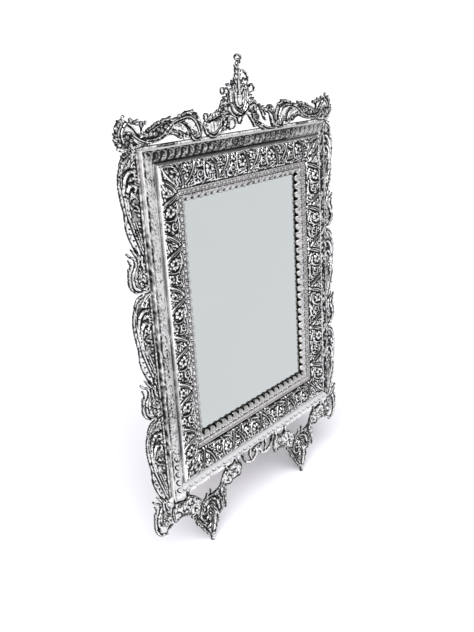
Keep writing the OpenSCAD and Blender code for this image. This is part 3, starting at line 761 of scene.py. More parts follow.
@dataclass(frozen=True)
class SilverFinish:
    """Old silver: polished where it is rubbed, nearly black in the hollows."""

    name: str
    bright: Triple = (0.86, 0.855, 0.84)
    middle: Triple = (0.30, 0.295, 0.285)
    dark: Triple = (0.018, 0.018, 0.02)
    rough: float = 0.2
    patchy: float = 0.2
    satin: float = 0.0
    speck: float = 260.0
    film: float = 38.0
    stops: Triple = (0.03, 0.24, 0.46)
    scratches: float = 0.00006

    def material(self) -> Material:
        """Builds the silver: it darkens with the value kept on each mesh, which holds the tarnish of the hollows and
        painted shade, and values under 0 give a satin face, a rub in places and painted light in others.

        Returns:
            The material.
        """
        kit = Surface(self.name)
        # the tarnish attribute holds real tarnish and painted shade, and below 0 a satin that is a rub in places and
        # painted light in others
        worn = kit.add("Attribute", attribute_name="tarnish").outputs["Fac"]
        satin = kit.math("ADD", kit.math("MULTIPLY", worn, -1.0, clamp=True), self.satin, clamp=True)
        cloud = kit.math("SUBTRACT", kit.noise(self.speck, 5, 0.65), 0.5)
        film = kit.math("SUBTRACT", kit.noise(self.film, 3, 0.6), 0.5)
        level = kit.plus(kit.math("MAXIMUM", worn, 0.0), cloud, self.patchy)
        level = kit.plus(level, film, self.patchy * 0.7, clamp=True)
        kit.colour(level, list(zip(self.stops, (self.bright, self.middle, self.dark))))
        kit.feed("Metallic", kit.math("SUBTRACT", 1.0, satin))
        rough = kit.plus(kit.plus(self.rough, level, 0.35), satin, 0.35)
        kit.feed("Roughness", kit.plus(rough, cloud, 0.12, clamp=True))
        kit.bump(kit.plus(kit.noise(150, 3, 0.5), kit.noise(900, 2, 0.6, (1, 1, 0.12)), 0.3), self.scratches)
        return kit.material


class Silver(Enum):
    """The silvers of the mouldings and the castings."""

    OLD = SilverFinish("old_silver")
    CHASED = SilverFinish("chased_silver", patchy=0.25)
    PLAIN = SilverFinish("plain_silver", bright=(0.6, 0.58, 0.57), patchy=0.35, rough=0.26, speck=420)
    LEAFY = SilverFinish("leafy_silver", bright=(0.58, 0.575, 0.565), patchy=0.3, rough=0.24, speck=500)
    DULLED = SilverFinish("dulled_silver", bright=(0.56, 0.56, 0.552), middle=(0.15, 0.15, 0.147), rough=0.3,
                          patchy=0.35, satin=0.25, speck=420)
    SOFT = SilverFinish("soft_silver", bright=(0.63, 0.62, 0.63), rough=0.42, patchy=0.3, satin=0.3, speck=420)
    RUBBED = SilverFinish("rubbed_silver", bright=(0.62, 0.615, 0.605), rough=0.28, patchy=0.55, satin=0.1, speck=700)
    BRIGHT = SilverFinish("bright_silver", bright=(0.86, 0.85, 0.845), rough=0.3, patchy=0.25, satin=0.35, speck=500)


@dataclass(frozen=True)
class WoodFinish:
    """Oiled walnut with its grain along one axis."""

    name: str
    grain: Triple = (1.0, 1.0, 0.06)
    light: Triple = (0.155, 0.078, 0.042)
    dark: Triple = (0.045, 0.022, 0.013)

    def material(self) -> Material:
        """Builds the wood: broad figure, fine pores and a soft oiled sheen.

        Returns:
            The material.
        """
        kit = Surface(self.name)
        pores = kit.noise(520, 2, 0.7, self.grain)
        tone = kit.plus(kit.math("MULTIPLY", kit.noise(48, 3, 0.6, self.grain), 0.8), pores, 0.2)
        kit.colour(tone, [(0.32, self.dark), (0.5, self.light), (0.62, self.dark), (0.75, self.light)])
        kit.feed("Roughness", kit.plus(0.38, pores, 0.25))
        kit.bump(pores, 0.00012)
        return kit.material


@dataclass(frozen=True)
class MetalFinish:
    """Plain working metal, such as brass screws or steel wire."""

    name: str
    clean: Triple
    dull: Triple
    rough: float = 0.3

    def material(self) -> Material:
        """Builds the metal with handling marks and a dulled film.

        Returns:
            The material.
        """
        kit = Surface(self.name)
        film = kit.noise(120, 5, 0.7)
        kit.colour(film, [(0.38, self.dull), (0.6, self.clean)])
        kit.feed("Metallic", 1.0)
        kit.feed("Roughness", kit.plus(self.rough - 0.1, film, 0.25))
        kit.bump(kit.noise(900, 3, 0.6, (1, 1, 0.15)), 0.00003)
        return kit.material


@dataclass(frozen=True)
class PlateFinish:
    """Silvered glass with the faintest haze of handling."""

    name: str = "mirror_plate"
    tint: Triple = (0.515, 0.545, 0.525)

    def material(self) -> Material:
        """Builds the mirror.

        Returns:
            The material.
        """
        kit = Surface(self.name)
        haze = kit.noise(9, 4, 0.6)
        kit.colour(haze, [(0.3, self.tint), (0.8, tuple(0.985 * c for c in self.tint))])
        kit.feed("Metallic", 1.0)
        kit.feed("Roughness", kit.plus(0.012, haze, 0.02))
        return kit.material


@dataclass(frozen=True)
class ClothFinish:
    """Felt or leather: a dull fibrous or pebbled surface."""

    name: str
    light: Triple
    dark: Triple
    grain: float = 900
    sheen: float = 0.3
    rough: float = 0.85

    def material(self) -> Material:
        """Builds the cloth or leather.

        Returns:
            The material.
        """
        kit = Surface(self.name)
        fibre = kit.noise(self.grain, 5, 0.7)
        tone = kit.plus(kit.math("MULTIPLY", fibre, 0.6), kit.noise(30, 3, 0.6), 0.4)
        kit.colour(tone, [(0.35, self.dark), (0.65, self.light)])
        kit.feed("Sheen Weight", self.sheen)
        kit.feed("Roughness", self.rough)
        kit.bump(fibre, 0.0002)
        return kit.material


def dress(obj: Object, material: Material) -> None:
    """Gives an object one material all over."""
    obj.data.materials.clear()
    obj.data.materials.append(material)


def settle(obj: Object, finish: Material, body: str, node: str) -> None:
    """Dresses a piece, makes it ride on its body and hides the CAD node that it takes the place of.

    Args:
        obj: The piece.
        finish: Its material.
        body: The body it moves with.
        node: The CAD node that it takes the place of.
    """
    dress(obj, finish)
    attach(obj, body)
    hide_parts(node)
    LOG.info("piece %s: %d faces, on %s", obj.name, len(obj.data.polygons), body)


# ------------------------------------------------------------------ silver mouldings


@dataclass
class Gadroons:
    """The outer moulding: a rounded roll with scalloped tongues, rubbed smooth low on the left, and lighter and satin
    along the bottom as painted light.
    """

    pitch: float = 8.8
    roll: float = 3.1
    rows: int = 34
    step: float = 0.5
    tongue: float = 4.0
    tongue_in: float = 5.2
    lower_in: float = 2.6
    slant_in: float = 3.6
    rim_in: float = 1.8
    scallop_depth: float = 0.45
    slant_depth: float = 0.4

    def wear_and_painted_light(self, side: Side, along: Array) -> tuple[Array, Array, Array, Array]:
        """Tells how one side is chased and worn along its length, and where it is given painted light.

        Args:
            side: The side of the frame.
            along: Places along it.

        Returns:
            Strength of the scallops, of the slanted lines and of the tarnish, and the satin, which is a rub on the left
            and painted light along the bottom.
        """
        one = np.ones_like(along)
        if side is Side.TOP:
            late = unit((along + 62) / 12)
            bare = unit((along - 64) / 50)
            return (1.5 - 1.0 * late) * (1 - 0.4 * bare), 0.4 + 0.6 * late, 1.5 - 0.9 * bare, 0.25 * bare
        if side is Side.RIGHT:
            return 0.35 * one, 0.9 * one, 0.7 * one, 0.0 * one
        # the bottom roll: little tarnish and a broad satin, painted light from above
        if side is Side.BOTTOM:
            return 0.42 + 0.12 * np.sin(along * 0.13), 0.06 * one, 0.06 * one, 0.5 * one
        low = unit((-along - 112) / 26)
        return 0.12 + 0.85 * low, 0.4 * unit((-along - 60) / 60) * (1 - 0.5 * low), 0.9 - 0.5 * low, 0.25 * low

    def build(self, side: Side, finish: Material) -> None:
        """Builds the moulding of one side.

        Args:
            side: The side of the frame.
            finish: The silver it is dressed in.
        """
        count = round(SIZES.length(side) / self.pitch)
        pitch = SIZES.length(side) / count
        grain = chasing((self.rows, int(SIZES.length(side) / self.step) + 1), 1.1, 5 + len(side.value))
        patch = chasing(grain.shape, 2.4 if side is Side.RIGHT else 5.0, 15 + len(side.value))

        def outline(along: Array, inset: Array) -> tuple[Array, Array, Array]:
            """Draws the tongues and the slanted lines.

            Args:
                along: Places along the side.
                inset: Insets from the outer edge.

            Returns:
                Strength of the tongues' rims, of the dark crescents round them, which carry painted shade on one half
                of each tongue, and of the slanted lines.
            """
            lead = (along + 0.35 * (inset - 5) + 0.4 * np.sin(along * 0.31)) % pitch - pitch / 2
            p = np.abs(lead)
            low = self.lower_in if side is Side.BOTTOM else 0.0
            away = np.where(inset > self.tongue_in + low, p, np.hypot(p, (inset - self.tongue_in - low) * 1.15))
            ridge = peak(away - self.tongue, 0.5) * unit((7.6 + low - inset) / 2.2)
            crescent = unit(1.2 - np.abs(away - self.tongue + 1.2) / 0.8) * unit((6.4 + low - inset) / 1.8)
            # painted shade: the left half of each tongue on top is darkened and the crescents are lighter on the right
            # half; the crescents are also sunk into the face
            crescent = np.maximum(crescent, 0.45 * unit((0.8 - lead) / 2) * (away < 3.2) * (side is Side.TOP))
            crescent = crescent * (1 - 0.6 * unit(lead / 2))
            lean = (inset - 6) * (0.9 if side.level else 1.15)
            stripe = np.abs((along + lean + 0.5 * np.sin(along * 0.7)) % (pitch / 2.6) - pitch / 5.2)
            stripe = unit(1 - stripe / 0.6) * unit((inset - self.slant_in) / 1.5) * unit((10.4 - inset) / 1.5)
            return ridge, crescent, stripe

        def depth(along: Array, inset: Array) -> Array:
            """Gives the depth of the face.

            Args:
                along: Places along the side.
                inset: Insets from the outer edge.

            Returns:
                Depths in millimetres.
            """
            f = (inset - SIZES.gadroon_in) / (SIZES.cove_in - SIZES.gadroon_in)
            ridge, crescent, stripe = outline(along, inset)
            scallop, slant, _, _ = self.wear_and_painted_light(side, along)
            fade = unit(np.sin(np.pi * f) * 3)
            cuts = scallop * (self.scallop_depth * crescent - 0.2 * ridge) + self.slant_depth * slant * stripe
            cuts = cuts + (0.28 * np.clip(patch + 0.4, -1, 1.4) * (inset > 6) if side is Side.RIGHT else 0)
            return 1.0 - 0.6 * f - self.roll * np.sin(np.pi * f) ** 0.8 + fade * cuts + 0.06 * grain

        def tarnish_and_painted_light(along: Array, inset: Array) -> Array:
            """Gives the tarnish of the face, with painted shade at the roll's feet and on one half of each tongue.

            Args:
                along: Places along the side.
                inset: Insets from the outer edge.

            Returns:
                The tarnish and painted shade, under 0 where it is rubbed satin or given a satin painted light.
            """
            f = (inset - SIZES.gadroon_in) / (SIZES.cove_in - SIZES.gadroon_in)
            ridge, crescent, stripe = outline(along, inset)
            scallop, slant, tarnish, satin = self.wear_and_painted_light(side, along)
            rim = peak(inset - self.rim_in, 0.7)
            line = (1.5 * crescent - 0.9 * ridge) * scallop + 0.6 * stripe * slant + 0.5 * rim * tarnish
            # painted shade in the hollow at the roll's inner foot, where the roll shades the band
            line = line + unit(f - 0.93) * 9 * tarnish
            if side is Side.LEFT:
                # on the left, dashes of painted shade on the roll's inner slope, in the same wave as the shade in the
                # band's hollow
                dash = unit(np.sin(along * 0.11 + 2.2 * np.sin(along * 0.037)) + 0.25)
                line = line + unit((0.4 + 0.8 * dash - np.abs(f - 0.91) * 9) / 0.4) * (0.6 + 0.4 * dash)
                line = line + np.clip((grain * 0.7 + patch * 0.5 - 0.5) * 0.55, 0, 0.34) * (inset > 4)
                # painted shade at the roll's outer foot on the left, where it meets the edge band
                line = line + 0.25 * unit((1.9 - inset) / 0.6) * (1 + 0.4 * patch)
            if side is Side.RIGHT:
                line = line + unit(0.45 + 0.3 * patch + 0.12 * grain) * unit((inset - 5.4) / 1.2)
            ground = tarnish * (0.14 + 0.06 * patch) - satin * (1 - unit(line * 3))
            polished = np.maximum(ground + 0.4 * np.minimum(line, 0), 0)
            ground = np.where(line > 0.12, line, np.where(ground > 0, polished, ground))
            return np.clip(ground + 0.09 * grain * (0.3 + tarnish), -1, 1)

        rows = np.linspace(SIZES.gadroon_in, SIZES.cove_in, self.rows)
        obj = strip_mesh(f"silver_gadroon_{side.value}", side, rows, int(SIZES.length(side) / self.step), depth, tarnish_and_painted_light,
                         SIZES.seat_y)
        settle(obj, finish, "frame", f"gadroon_{side.value}")


@dataclass
class EdgeBand:
    """The narrow rolled band round the frame's outer edge."""

    front_y: float = 1.4
    step: float = 0.8
    wall: tuple[float, ...] = (0.0, 0.01, 0.02, 0.03, 0.1, 0.24, 0.45, 0.7, 1.0)
    drop: tuple[float, ...] = (4.6, 3.4, 2.2, 1.2, 0.65, 0.28, 0.08, 0.0, 0.0)

    def build(self, side: Side, finish: Material) -> None:
        """Builds the band of one side, bright on top, with painted shade low down on the left and a lighter satin along
        the bottom as painted light.

        Args:
            side: The side of the frame.
            finish: The silver it is dressed in.
        """
        columns = int(SIZES.length(side) / self.step)
        patch = chasing((len(self.wall), columns + 1), 1.6, 31 + len(side.value))

        def depth(along: Array, inset: Array) -> Array:
            """Gives the depth of the face."""
            return np.minimum(self.front_y + np.interp(inset, self.wall, self.drop), SIZES.flange_y - 0.02)

        def tarnish_and_painted_light(along: Array, inset: Array) -> Array:
            """Gives the tarnish of the face, with painted shade and painted light.

            Args:
                along: Places along the side.
                inset: Insets from the outer edge.

            Returns:
                The tarnish and painted shade, under 0 where it is satin.
            """
            # painted shade on the band low down on the left, deepest on its wall beside the casting
            low = unit(np.minimum((110 - along) / 30, (along + 150) / 40)) if side is Side.LEFT else 0 * along
            face = unit((depth(along, inset) - self.front_y - 1.6) / 0.5)
            # the bottom band is given a lighter satin as painted light from above
            base = {Side.BOTTOM: -0.25, Side.LEFT: 0.05}.get(side, -0.03)
            return np.clip(base + 0.05 * patch + low * (0.13 + 0.06 * patch + face * (0.12 + 0.1 * patch)), -0.3, 1)

        obj = strip_mesh(f"silver_edge_band_{side.value}", side, np.array(self.wall), columns, depth, tarnish_and_painted_light,
                         SIZES.flange_y)
        settle(obj, finish, "frame", f"edge_band_{side.value}")


@dataclass
class FloralBand:
    """The wide bulged band, chased with flowers, crossed ribbons and curled leaves on a dark ground."""

    bulge: float = 2.0
    outer_y: float = -2.2
    inner_y: float = 0.8
    repeat: float = 48.8
    first: float = 129.0
    relief: float = 1.8
    step: float = 0.45

    @staticmethod
    def shade(side: Side, along: Array) -> Array:
        """Gives the painted shade in the hollow beside the band along one side, where the roll shades it.

        Args:
            side: The side of the frame.
            along: Places along the side.

        Returns:
            The painted shade there, from 0 to 1.
        """
        if side is Side.BOTTOM:
            return np.zeros_like(along)
        if side is Side.TOP:
            return np.where(along < 72, 0.9, 0.25)
        wave = np.sin(along * 0.11 + 2.2 * np.sin(along * 0.037))
        return np.clip(0.62 + 0.55 * wave, 0.2, 1.0)

    def pattern(self, side: Side) -> Relief:
        """Lays the chasing of one side.

        Args:
            side: The side of the frame.

        Returns:
            The relief.
        """
        half = SIZES.length(side) / 2
        grid = Relief((-half, half), (SIZES.floral_in, SIZES.fillet_in), self.step)
        level = side.level
        first = 97.6 if level else self.first
        for k in range(5 if level else 6):
            self.tile(grid, first - k * self.repeat, k, level)
        for end in (-1, 1):
            self.corner(grid, end, half)
        self.pebbles(grid, half)
        return grid

    def tile(self, grid: Relief, at: float, number: int, level: bool) -> None:
        """Lays one repeat: two ribbons that meet at the inner edge, with flowers and curls between them.

        Args:
            grid: The relief to lay it on.
            at: Its place along the side.
            number: Its number, by which flowers and curls take turns.
            level: True for the top and the bottom, where the ribbons are slimmer.
        """
        r = self.relief
        place = Shift(at)

        def lay(points: Points, width: float, share: float, tip: float = 0.5, form: Form = ROUND,
                lobes: float = 0.0) -> None:
            """Lays one stroke, with its height as a share of the relief's."""
            grid.stroke(Stroke(place.line(points), width, r * share, tip, form, lobes))

        def cut(points: Points, width: float, tip: float = 0.5) -> None:
            """Cuts one groove."""
            grid.groove(place.line(points), width, tip)

        slim = 0.72 if level else 1.0
        lay([(-9, 15.2), (-5.8, 20), (-2.4, 28), (0.4, 37.6)], 4.6 * slim, 1.0, 0.9)
        lay([(15.4, 16.4), (13.4, 21), (8.6, 29), (1.5, 36.6)], 5.0 * slim, 0.9, 0.6)
        for off in (-3 * slim, 3 * slim):
            cut([(-9 + off, 15.4), (-5.8 + off, 20.6), (-2.4 + off * 0.9, 28), (0.4 + off * 0.7, 36.6)], 1.0, 0.8)
            cut([(15.2 + off * 0.7, 17), (13.4 + off, 21), (8.6 + off, 29), (1.5 + off * 0.7, 36)], 0.9, 0.4)
        cut([(-8.6, 16), (-5.8, 20.2), (-2.4, 28), (0, 35)], 0.8)
        cut([(13.2, 19), (10, 25), (6, 31)], 0.7)
        cut([(15.2, 19.5), (12.4, 25), (8, 31)], 0.7)
        if number % 2:
            grid.bead(at + 4.6, 31.4, 4.0, r, 0.42)
            cut([(4.6, 31.3), (4.6, 31.5)], 3.0, 1.0)
            lay(spiral(4.4, 19.6, 4.0, 0.6, 200, 470), 2.0, 0.95)
            cut(spiral(4.4, 19.6, 2.9, 0.8, 190, 380), 0.9)
        else:
            grid.flower(at + 4.4, 20.4, 4.6, 5, r, 20)
            cut([(4.3, 20.4), (4.5, 20.4)], 2.0, 1.0)
            lay([(0.4, 28.6), (4.4, 30.6), (7, 28)], 3.4, 0.9, 0.4, LEAF)
        grid.flower(at - 12.6, 24.6, 6.4, 6, r * 1.05, 10 + 25 * number)
        cut([(-12.7, 24.6), (-12.5, 24.6)], 2.7, 1.0)
        grid.bead(at - 12.6, 24.6, 0.8, r)
        cut([(-8.6, 30.2), (-6.2, 25), (-8.2, 19.4), (-13.6, 17.2)], 1.1)
        cut([(-17, 17.6), (-19.6, 22), (-19.2, 28), (-15.4, 31.4)], 1.3)
        lay([(-19.6, 15.8), (-21, 22), (-20.4, 29), (-16.6, 33.6), (-10, 34)], 2.2, 0.9)
        lay([(-5, 34), (-10, 36), (-16, 37.4)], 3.0, 0.85, 0.4, LEAF, 0.2)
        grid.flower(at - 25.6, 18.6, 4.1, 5, r * 0.95, 40 * number)
        cut([(-25.7, 18.6), (-25.5, 18.6)], 1.6, 1.0)
        lay(spiral(-26.4, 28.4, 5.0, 0.7, 60, 520, 9), 2.3, 1.0)
        cut(spiral(-26.4, 28.4, 3.7, 0.7, 50, 430, 9), 1.0, 0.6)
        cut([(-22.6, 22.4), (-26, 23.4), (-30.4, 22)], 1.1)
        lay([(-20.6, 35.6), (-27, 36.9), (-33, 35.2), (-35.6, 30)], 2.8, 0.85, 0.4, LEAF, 0.2)
        for k in range(3):
            lay([(-30.4 - 3.4 * k, 15.6 + k), (-33 - 2.6 * k, 21 + k), (-33 - 1.6 * k, 27 + k)], 2.7, 0.85, 0.4, LEAF)
        cut([(-31.6, 17), (-34.4, 23), (-34, 28)], 0.8)

    def corner(self, grid: Relief, end: int, half: float) -> None:
        """Lays the leaf fan and curl at one mitre.

        Args:
            grid: The relief to lay it on.
            end: Which end of the side, -1 or 1.
            half: Half the side's outer length.
        """
        r = self.relief
        at = Shift(end * half, turn=-end).line
        for points, width in (([(17, 17.5), (25, 24), (33, 33)], 5.0), ([(17, 16), (27, 16), (37, 19.5)], 3.4),
                              ([(22, 23.5), (26, 31), (33, 38)], 3.4), ([(29, 20), (35, 22), (40, 28)], 3.4)):
            grid.stroke(Stroke(at(points), width, r, 0.4, LEAF, 0.15))
        grid.stroke(Stroke(at([(38, 36), (34, 29), (28, 27.6), (25, 31), (27.4, 34), (30, 32.4)]), 2.0, r * 1.05))
        grid.groove(at([(20, 18.5), (28, 19), (36, 23)]), 0.9)
        grid.groove(at([(20, 21), (26, 27), (31, 35)]), 0.9)
        grid.groove(at([(18, 18.5), (25, 24.3), (31.6, 31.4)]), 0.6)

    def pebbles(self, grid: Relief, half: float) -> None:
        """Fills what is left with small leaves and pebbles.

        Args:
            grid: The relief to lay it on.
            half: Half the side's outer length.
        """
        rng = np.random.default_rng(7)
        for x in np.arange(-half + 14, half - 12, 3.0):
            for k, t in enumerate(np.arange(SIZES.floral_in + 1.6, SIZES.fillet_in - 0.6, 2.7)):
                px = x + 1.5 * (k % 2) + rng.uniform(-0.5, 0.5)
                pt = t + rng.uniform(-0.4, 0.4)
                if grid.sample(grid.inside, np.array(px), np.array(pt)) < -0.5:
                    turn = rng.uniform(0, math.pi)
                    dx, dt = 1.3 * math.cos(turn), 1.1 * math.sin(turn)
                    pebble = [(px - dx, pt - dt), (px, pt), (px + dx, pt + dt)]
                    grid.stroke(Stroke(pebble, 2.1, self.relief * 0.6, 0.6))

    def build(self, side: Side, finish: Material) -> None:
        """Builds the band of one side, with the hollow beside it and the painted shade in that hollow.

        Args:
            side: The side of the frame.
            finish: The silver it is dressed in.
        """
        half = SIZES.length(side) / 2
        grid = self.pattern(side)
        grain = chasing(grid.rise.shape, 1.0 / self.step, 11)
        cut = blurred(grid.cut, 0.6)
        rise = blurred(grid.rise, 0.5) * (1 - 0.85 * cut) + 0.07 * grain
        stain = grid.tarnish(rise) + unit(0.5 - rise) * 0.9
        stain = unit(np.maximum(stain + 0.1 * grain + 0.04, cut * 0.95))
        width = SIZES.fillet_in - SIZES.floral_in
        foot = SIZES.cove_in + 1.0

        def depth(along: Array, inset: Array) -> Array:
            """Gives the depth of the face.

            Args:
                along: Places along the side.
                inset: Insets from the outer edge.

            Returns:
                Depths in millimetres.
            """
            f = unit((inset - SIZES.floral_in) / width)
            face = self.outer_y + (self.inner_y - self.outer_y) * f - self.bulge * np.sin(np.pi * f)
            rim = peak(inset - SIZES.floral_in - 0.5, 0.7) * 0.9
            face = face - np.maximum(grid.sample(rise, along, inset) * unit((inset - SIZES.floral_in) / 1.6), rim)
            g = unit((inset - foot) / (SIZES.floral_in - foot))
            flank = 1.35 + (self.outer_y - 0.3 - 1.35) * g ** 1.25
            return np.where(inset < SIZES.floral_in - 0.05, flank, face)

        def tarnish_and_painted_light(along: Array, inset: Array) -> Array:
            """Gives the tarnish of the face, with painted shade in the hollow beside it.

            Args:
                along: Places along the side.
                inset: Insets from the outer edge.

            Returns:
                The tarnish and painted shade, under 0 where it is rubbed satin.
            """
            d = grid.sample(stain, along, inset)
            low = unit(np.minimum((20 - along) / 60, (along + 135) / 30)) if side is Side.LEFT else 0 * along
            d = np.where(inset < SIZES.floral_in + 1.0, -0.1 + 0.25 * low, d)
            # painted shade in the hollow beside the band, where the roll shades it; low down on the left it is deeper
            # and wider, and the flank is darker
            hollow = unit(1.6 - 0.3 * low - (inset - SIZES.cove_in) / 0.9)
            deep = np.maximum(self.shade(side, along), 0.75 * low) * hollow
            return np.where(deep > 0.1, deep, d)

        rows = np.concatenate([np.linspace(SIZES.cove_in, SIZES.floral_in - 0.15, 9),
                               np.arange(SIZES.floral_in, SIZES.fillet_in, self.step), [SIZES.fillet_in]])
        obj = strip_mesh(f"silver_floral_band_{side.value}", side, rows, int(2 * half / self.step), depth, tarnish_and_painted_light,
                         SIZES.seat_y)
        settle(obj, finish, "frame", f"floral_band_{side.value}")


@dataclass
class Fillet:
    """The strip between band and leaf tips: two fine drawn lines, and small chased scales."""

    rows: int = 26
    columns: int = 560
    pitch: float = 6.2
    scale_rows: tuple[tuple[float, float], ...] = ((1.0, 0.0), (4.2, 0.5))

    def scales(self, side: Side, along: Array, f: Array) -> Array:
        """Gives the dark outlines of the chased scales.

        Args:
            side: The side of the frame.
            along: Places along it.
            f: Share of the way across the strip.

        Returns:
            Strength of the outline, 0 to 1.
        """
        strength = {Side.LEFT: 0.85, Side.TOP: 0.55, Side.RIGHT: 0.5, Side.BOTTOM: 0.6}[side]
        across = f * (SIZES.leaf_in - SIZES.fillet_in)
        lean = 0.5 * np.sin(along * 0.21) + 0.4 * np.sin(along * 0.57)
        total = np.zeros_like(along)
        for row, shift in self.scale_rows:
            p = (along + lean + shift * self.pitch) % self.pitch - self.pitch / 2
            ring = np.abs(np.hypot(p, 1.25 * (across - row)) - 2.3)
            total = np.maximum(total, unit(1 - ring / 0.55) * (across > row - 1.2))
            total = np.maximum(total, 0.7 * unit(1 - np.hypot(p - 0.4, across - row - 0.6) / 0.7))
        return strength * total

    def build(self, side: Side, finish: Material) -> None:
        """Builds the strip of one side.

        Args:
            side: The side of the frame.
            finish: The silver it is dressed in.
        """
        a, b = SIZES.fillet_in, SIZES.leaf_in

        def depth(along: Array, inset: Array) -> Array:
            """Gives the depth of the face.

            Args:
                along: Places along the side.
                inset: Insets from the outer edge.

            Returns:
                Depths in millimetres.
            """
            f = (inset - a) / (b - a)
            ground = 0.7 + 1.1 * f
            outer = dome((f - 0.14) / 0.14) * 0.4
            inner = dome((f - 0.88) / 0.12) * 0.35
            line = -0.22 * bell(f - 0.42, 0.04) - 0.35 * self.scales(side, along, f)
            return ground - np.maximum(outer, inner) - line + 0.06 * np.sin(along * 0.9 + 2 * np.sin(along * 0.13))

        def tarnish_and_painted_light(along: Array, inset: Array) -> Array:
            """Gives the tarnish of the face.

            Args:
                along: Places along the side.
                inset: Insets from the outer edge.

            Returns:
                The tarnish, under 0 where it is rubbed satin.
            """
            f = (inset - a) / (b - a)
            wave = 0.5 + 0.5 * np.sin(along * 0.35 + 3 * np.sin(along * 0.09))
            lines = bell(f - 0.3, 0.06) * 0.2 * wave + bell(f - 0.76, 0.06) * 0.3 * wave + 0.8 * bell(f, 0.05)
            base = -0.12 - 0.12 * (f < 0.5) if side is Side.BOTTOM else 0.08
            return np.clip(lines + 0.8 * self.scales(side, along, f) + base, -0.3, 1)

        obj = strip_mesh(f"silver_fillet_{side.value}", side, np.linspace(a, b, self.rows), self.columns, depth, tarnish_and_painted_light,
                         SIZES.fillet_seat_y)
        settle(obj, finish, "frame", f"fillet_{side.value}")


@dataclass
class LeafTips:
    """The sloping edge of leaf tips that laps over the plate."""

    pitch: float = 9.3
    drop: float = 4.0
    sheet: float = 0.9
    relief: float = 0.9
    step: float = 0.42

    def build(self, side: Side, finish: Material) -> None:
        """Builds the leaf tips of one side.

        Args:
            side: The side of the frame.
            finish: The silver it is dressed in.
        """
        half = SIZES.length(side) / 2
        run = 2 * (half - SIZES.sight_in)
        count = round(run / self.pitch)
        pitch = run / count
        root, tip = -SIZES.leaf_in, -SIZES.sight_in
        grid = Relief((-half + SIZES.leaf_in - 1, half - SIZES.leaf_in + 1), (tip - 0.5, root + 0.6), self.step)
        gap = 1.3 if side is Side.BOTTOM else 3.9
        inside = np.minimum(root - grid.z_grid, grid.z_grid - (tip + gap))
        for k in range(-1, count + 2):
            x = -run / 2 + (k - 0.5) * pitch
            grid.bead(x, tip + 3.4, 3.5, self.relief)
            grid.bead(x + pitch / 2, tip + 4.6, 1.1, self.relief * 0.8)
            grid.stroke(Stroke([(x, root - 0.4), (x + 0.4, root - 3.5), (x, tip + 2.2)], 1.6, self.relief * 1.2, 0.5))
            for s in (-1, 1):
                curl = [(x, root - 1.0), (x + s * 2.4, root - 1.8), (x + s * 3.4, root - 3.6)]
                grid.stroke(Stroke(curl, 1.5, self.relief * 1.1, 0.7))
                grid.groove([(x + s * 1.2, root - 3.2), (x + s * 2.0, tip + 3.4)], 0.4)
            grid.bead(x + pitch / 2, root - 1.9, 1.3, self.relief)
        grid.inside = np.minimum(np.maximum(grid.inside, inside), half + grid.z_grid - np.abs(grid.x_grid))
        grid.inside = np.minimum(grid.inside, root - grid.z_grid)
        rise = blurred(grid.rise, 0.6)
        slope = SIZES.fillet_seat_y - 1.2 + self.drop * (root - grid.z_grid) / (root - tip)
        grain = chasing(rise.shape, 0.8 / self.step, 3)
        tarnish_and_painted_light = grid.tarnish(rise, 1.0, 0.7) + unit(0.25 - rise) * 1.2 + 0.3 * blurred(grid.cut, 0.6) + 0.09 * grain
        # on the bottom, the low gaps between the tips are painted black as the shade of the deep recess over the plate,
        # and the rest is made lighter and satin as painted light
        if side is Side.BOTTOM:
            rubbed = np.where(tarnish_and_painted_light > 0.45, tarnish_and_painted_light, tarnish_and_painted_light * 0.3 - 0.4)
            tarnish_and_painted_light = np.where((rise < 0.3) & (grid.z_grid < tip + 3.2), 1.0, rubbed)
        tarnish_and_painted_light = np.clip(tarnish_and_painted_light + (0.08 if side is Side.TOP else 0), -0.2, 1)

        def place(x: Array, y: Array, z: Array) -> Array:
            """Takes grid places and depths to the upright frame."""
            return SIZES.place(side, x, y, z)

        obj = outlined_mesh(f"silver_leaf_tips_{side.value}", grid, slope - rise * 0.8 - 0.15, slope + self.sheet,
                            place, tarnish_and_painted_light, side in (Side.BOTTOM, Side.RIGHT))
        settle(obj, finish, "frame", f"leaf_edge_{side.value}")


# ------------------------------------------------------------------ cast openwork


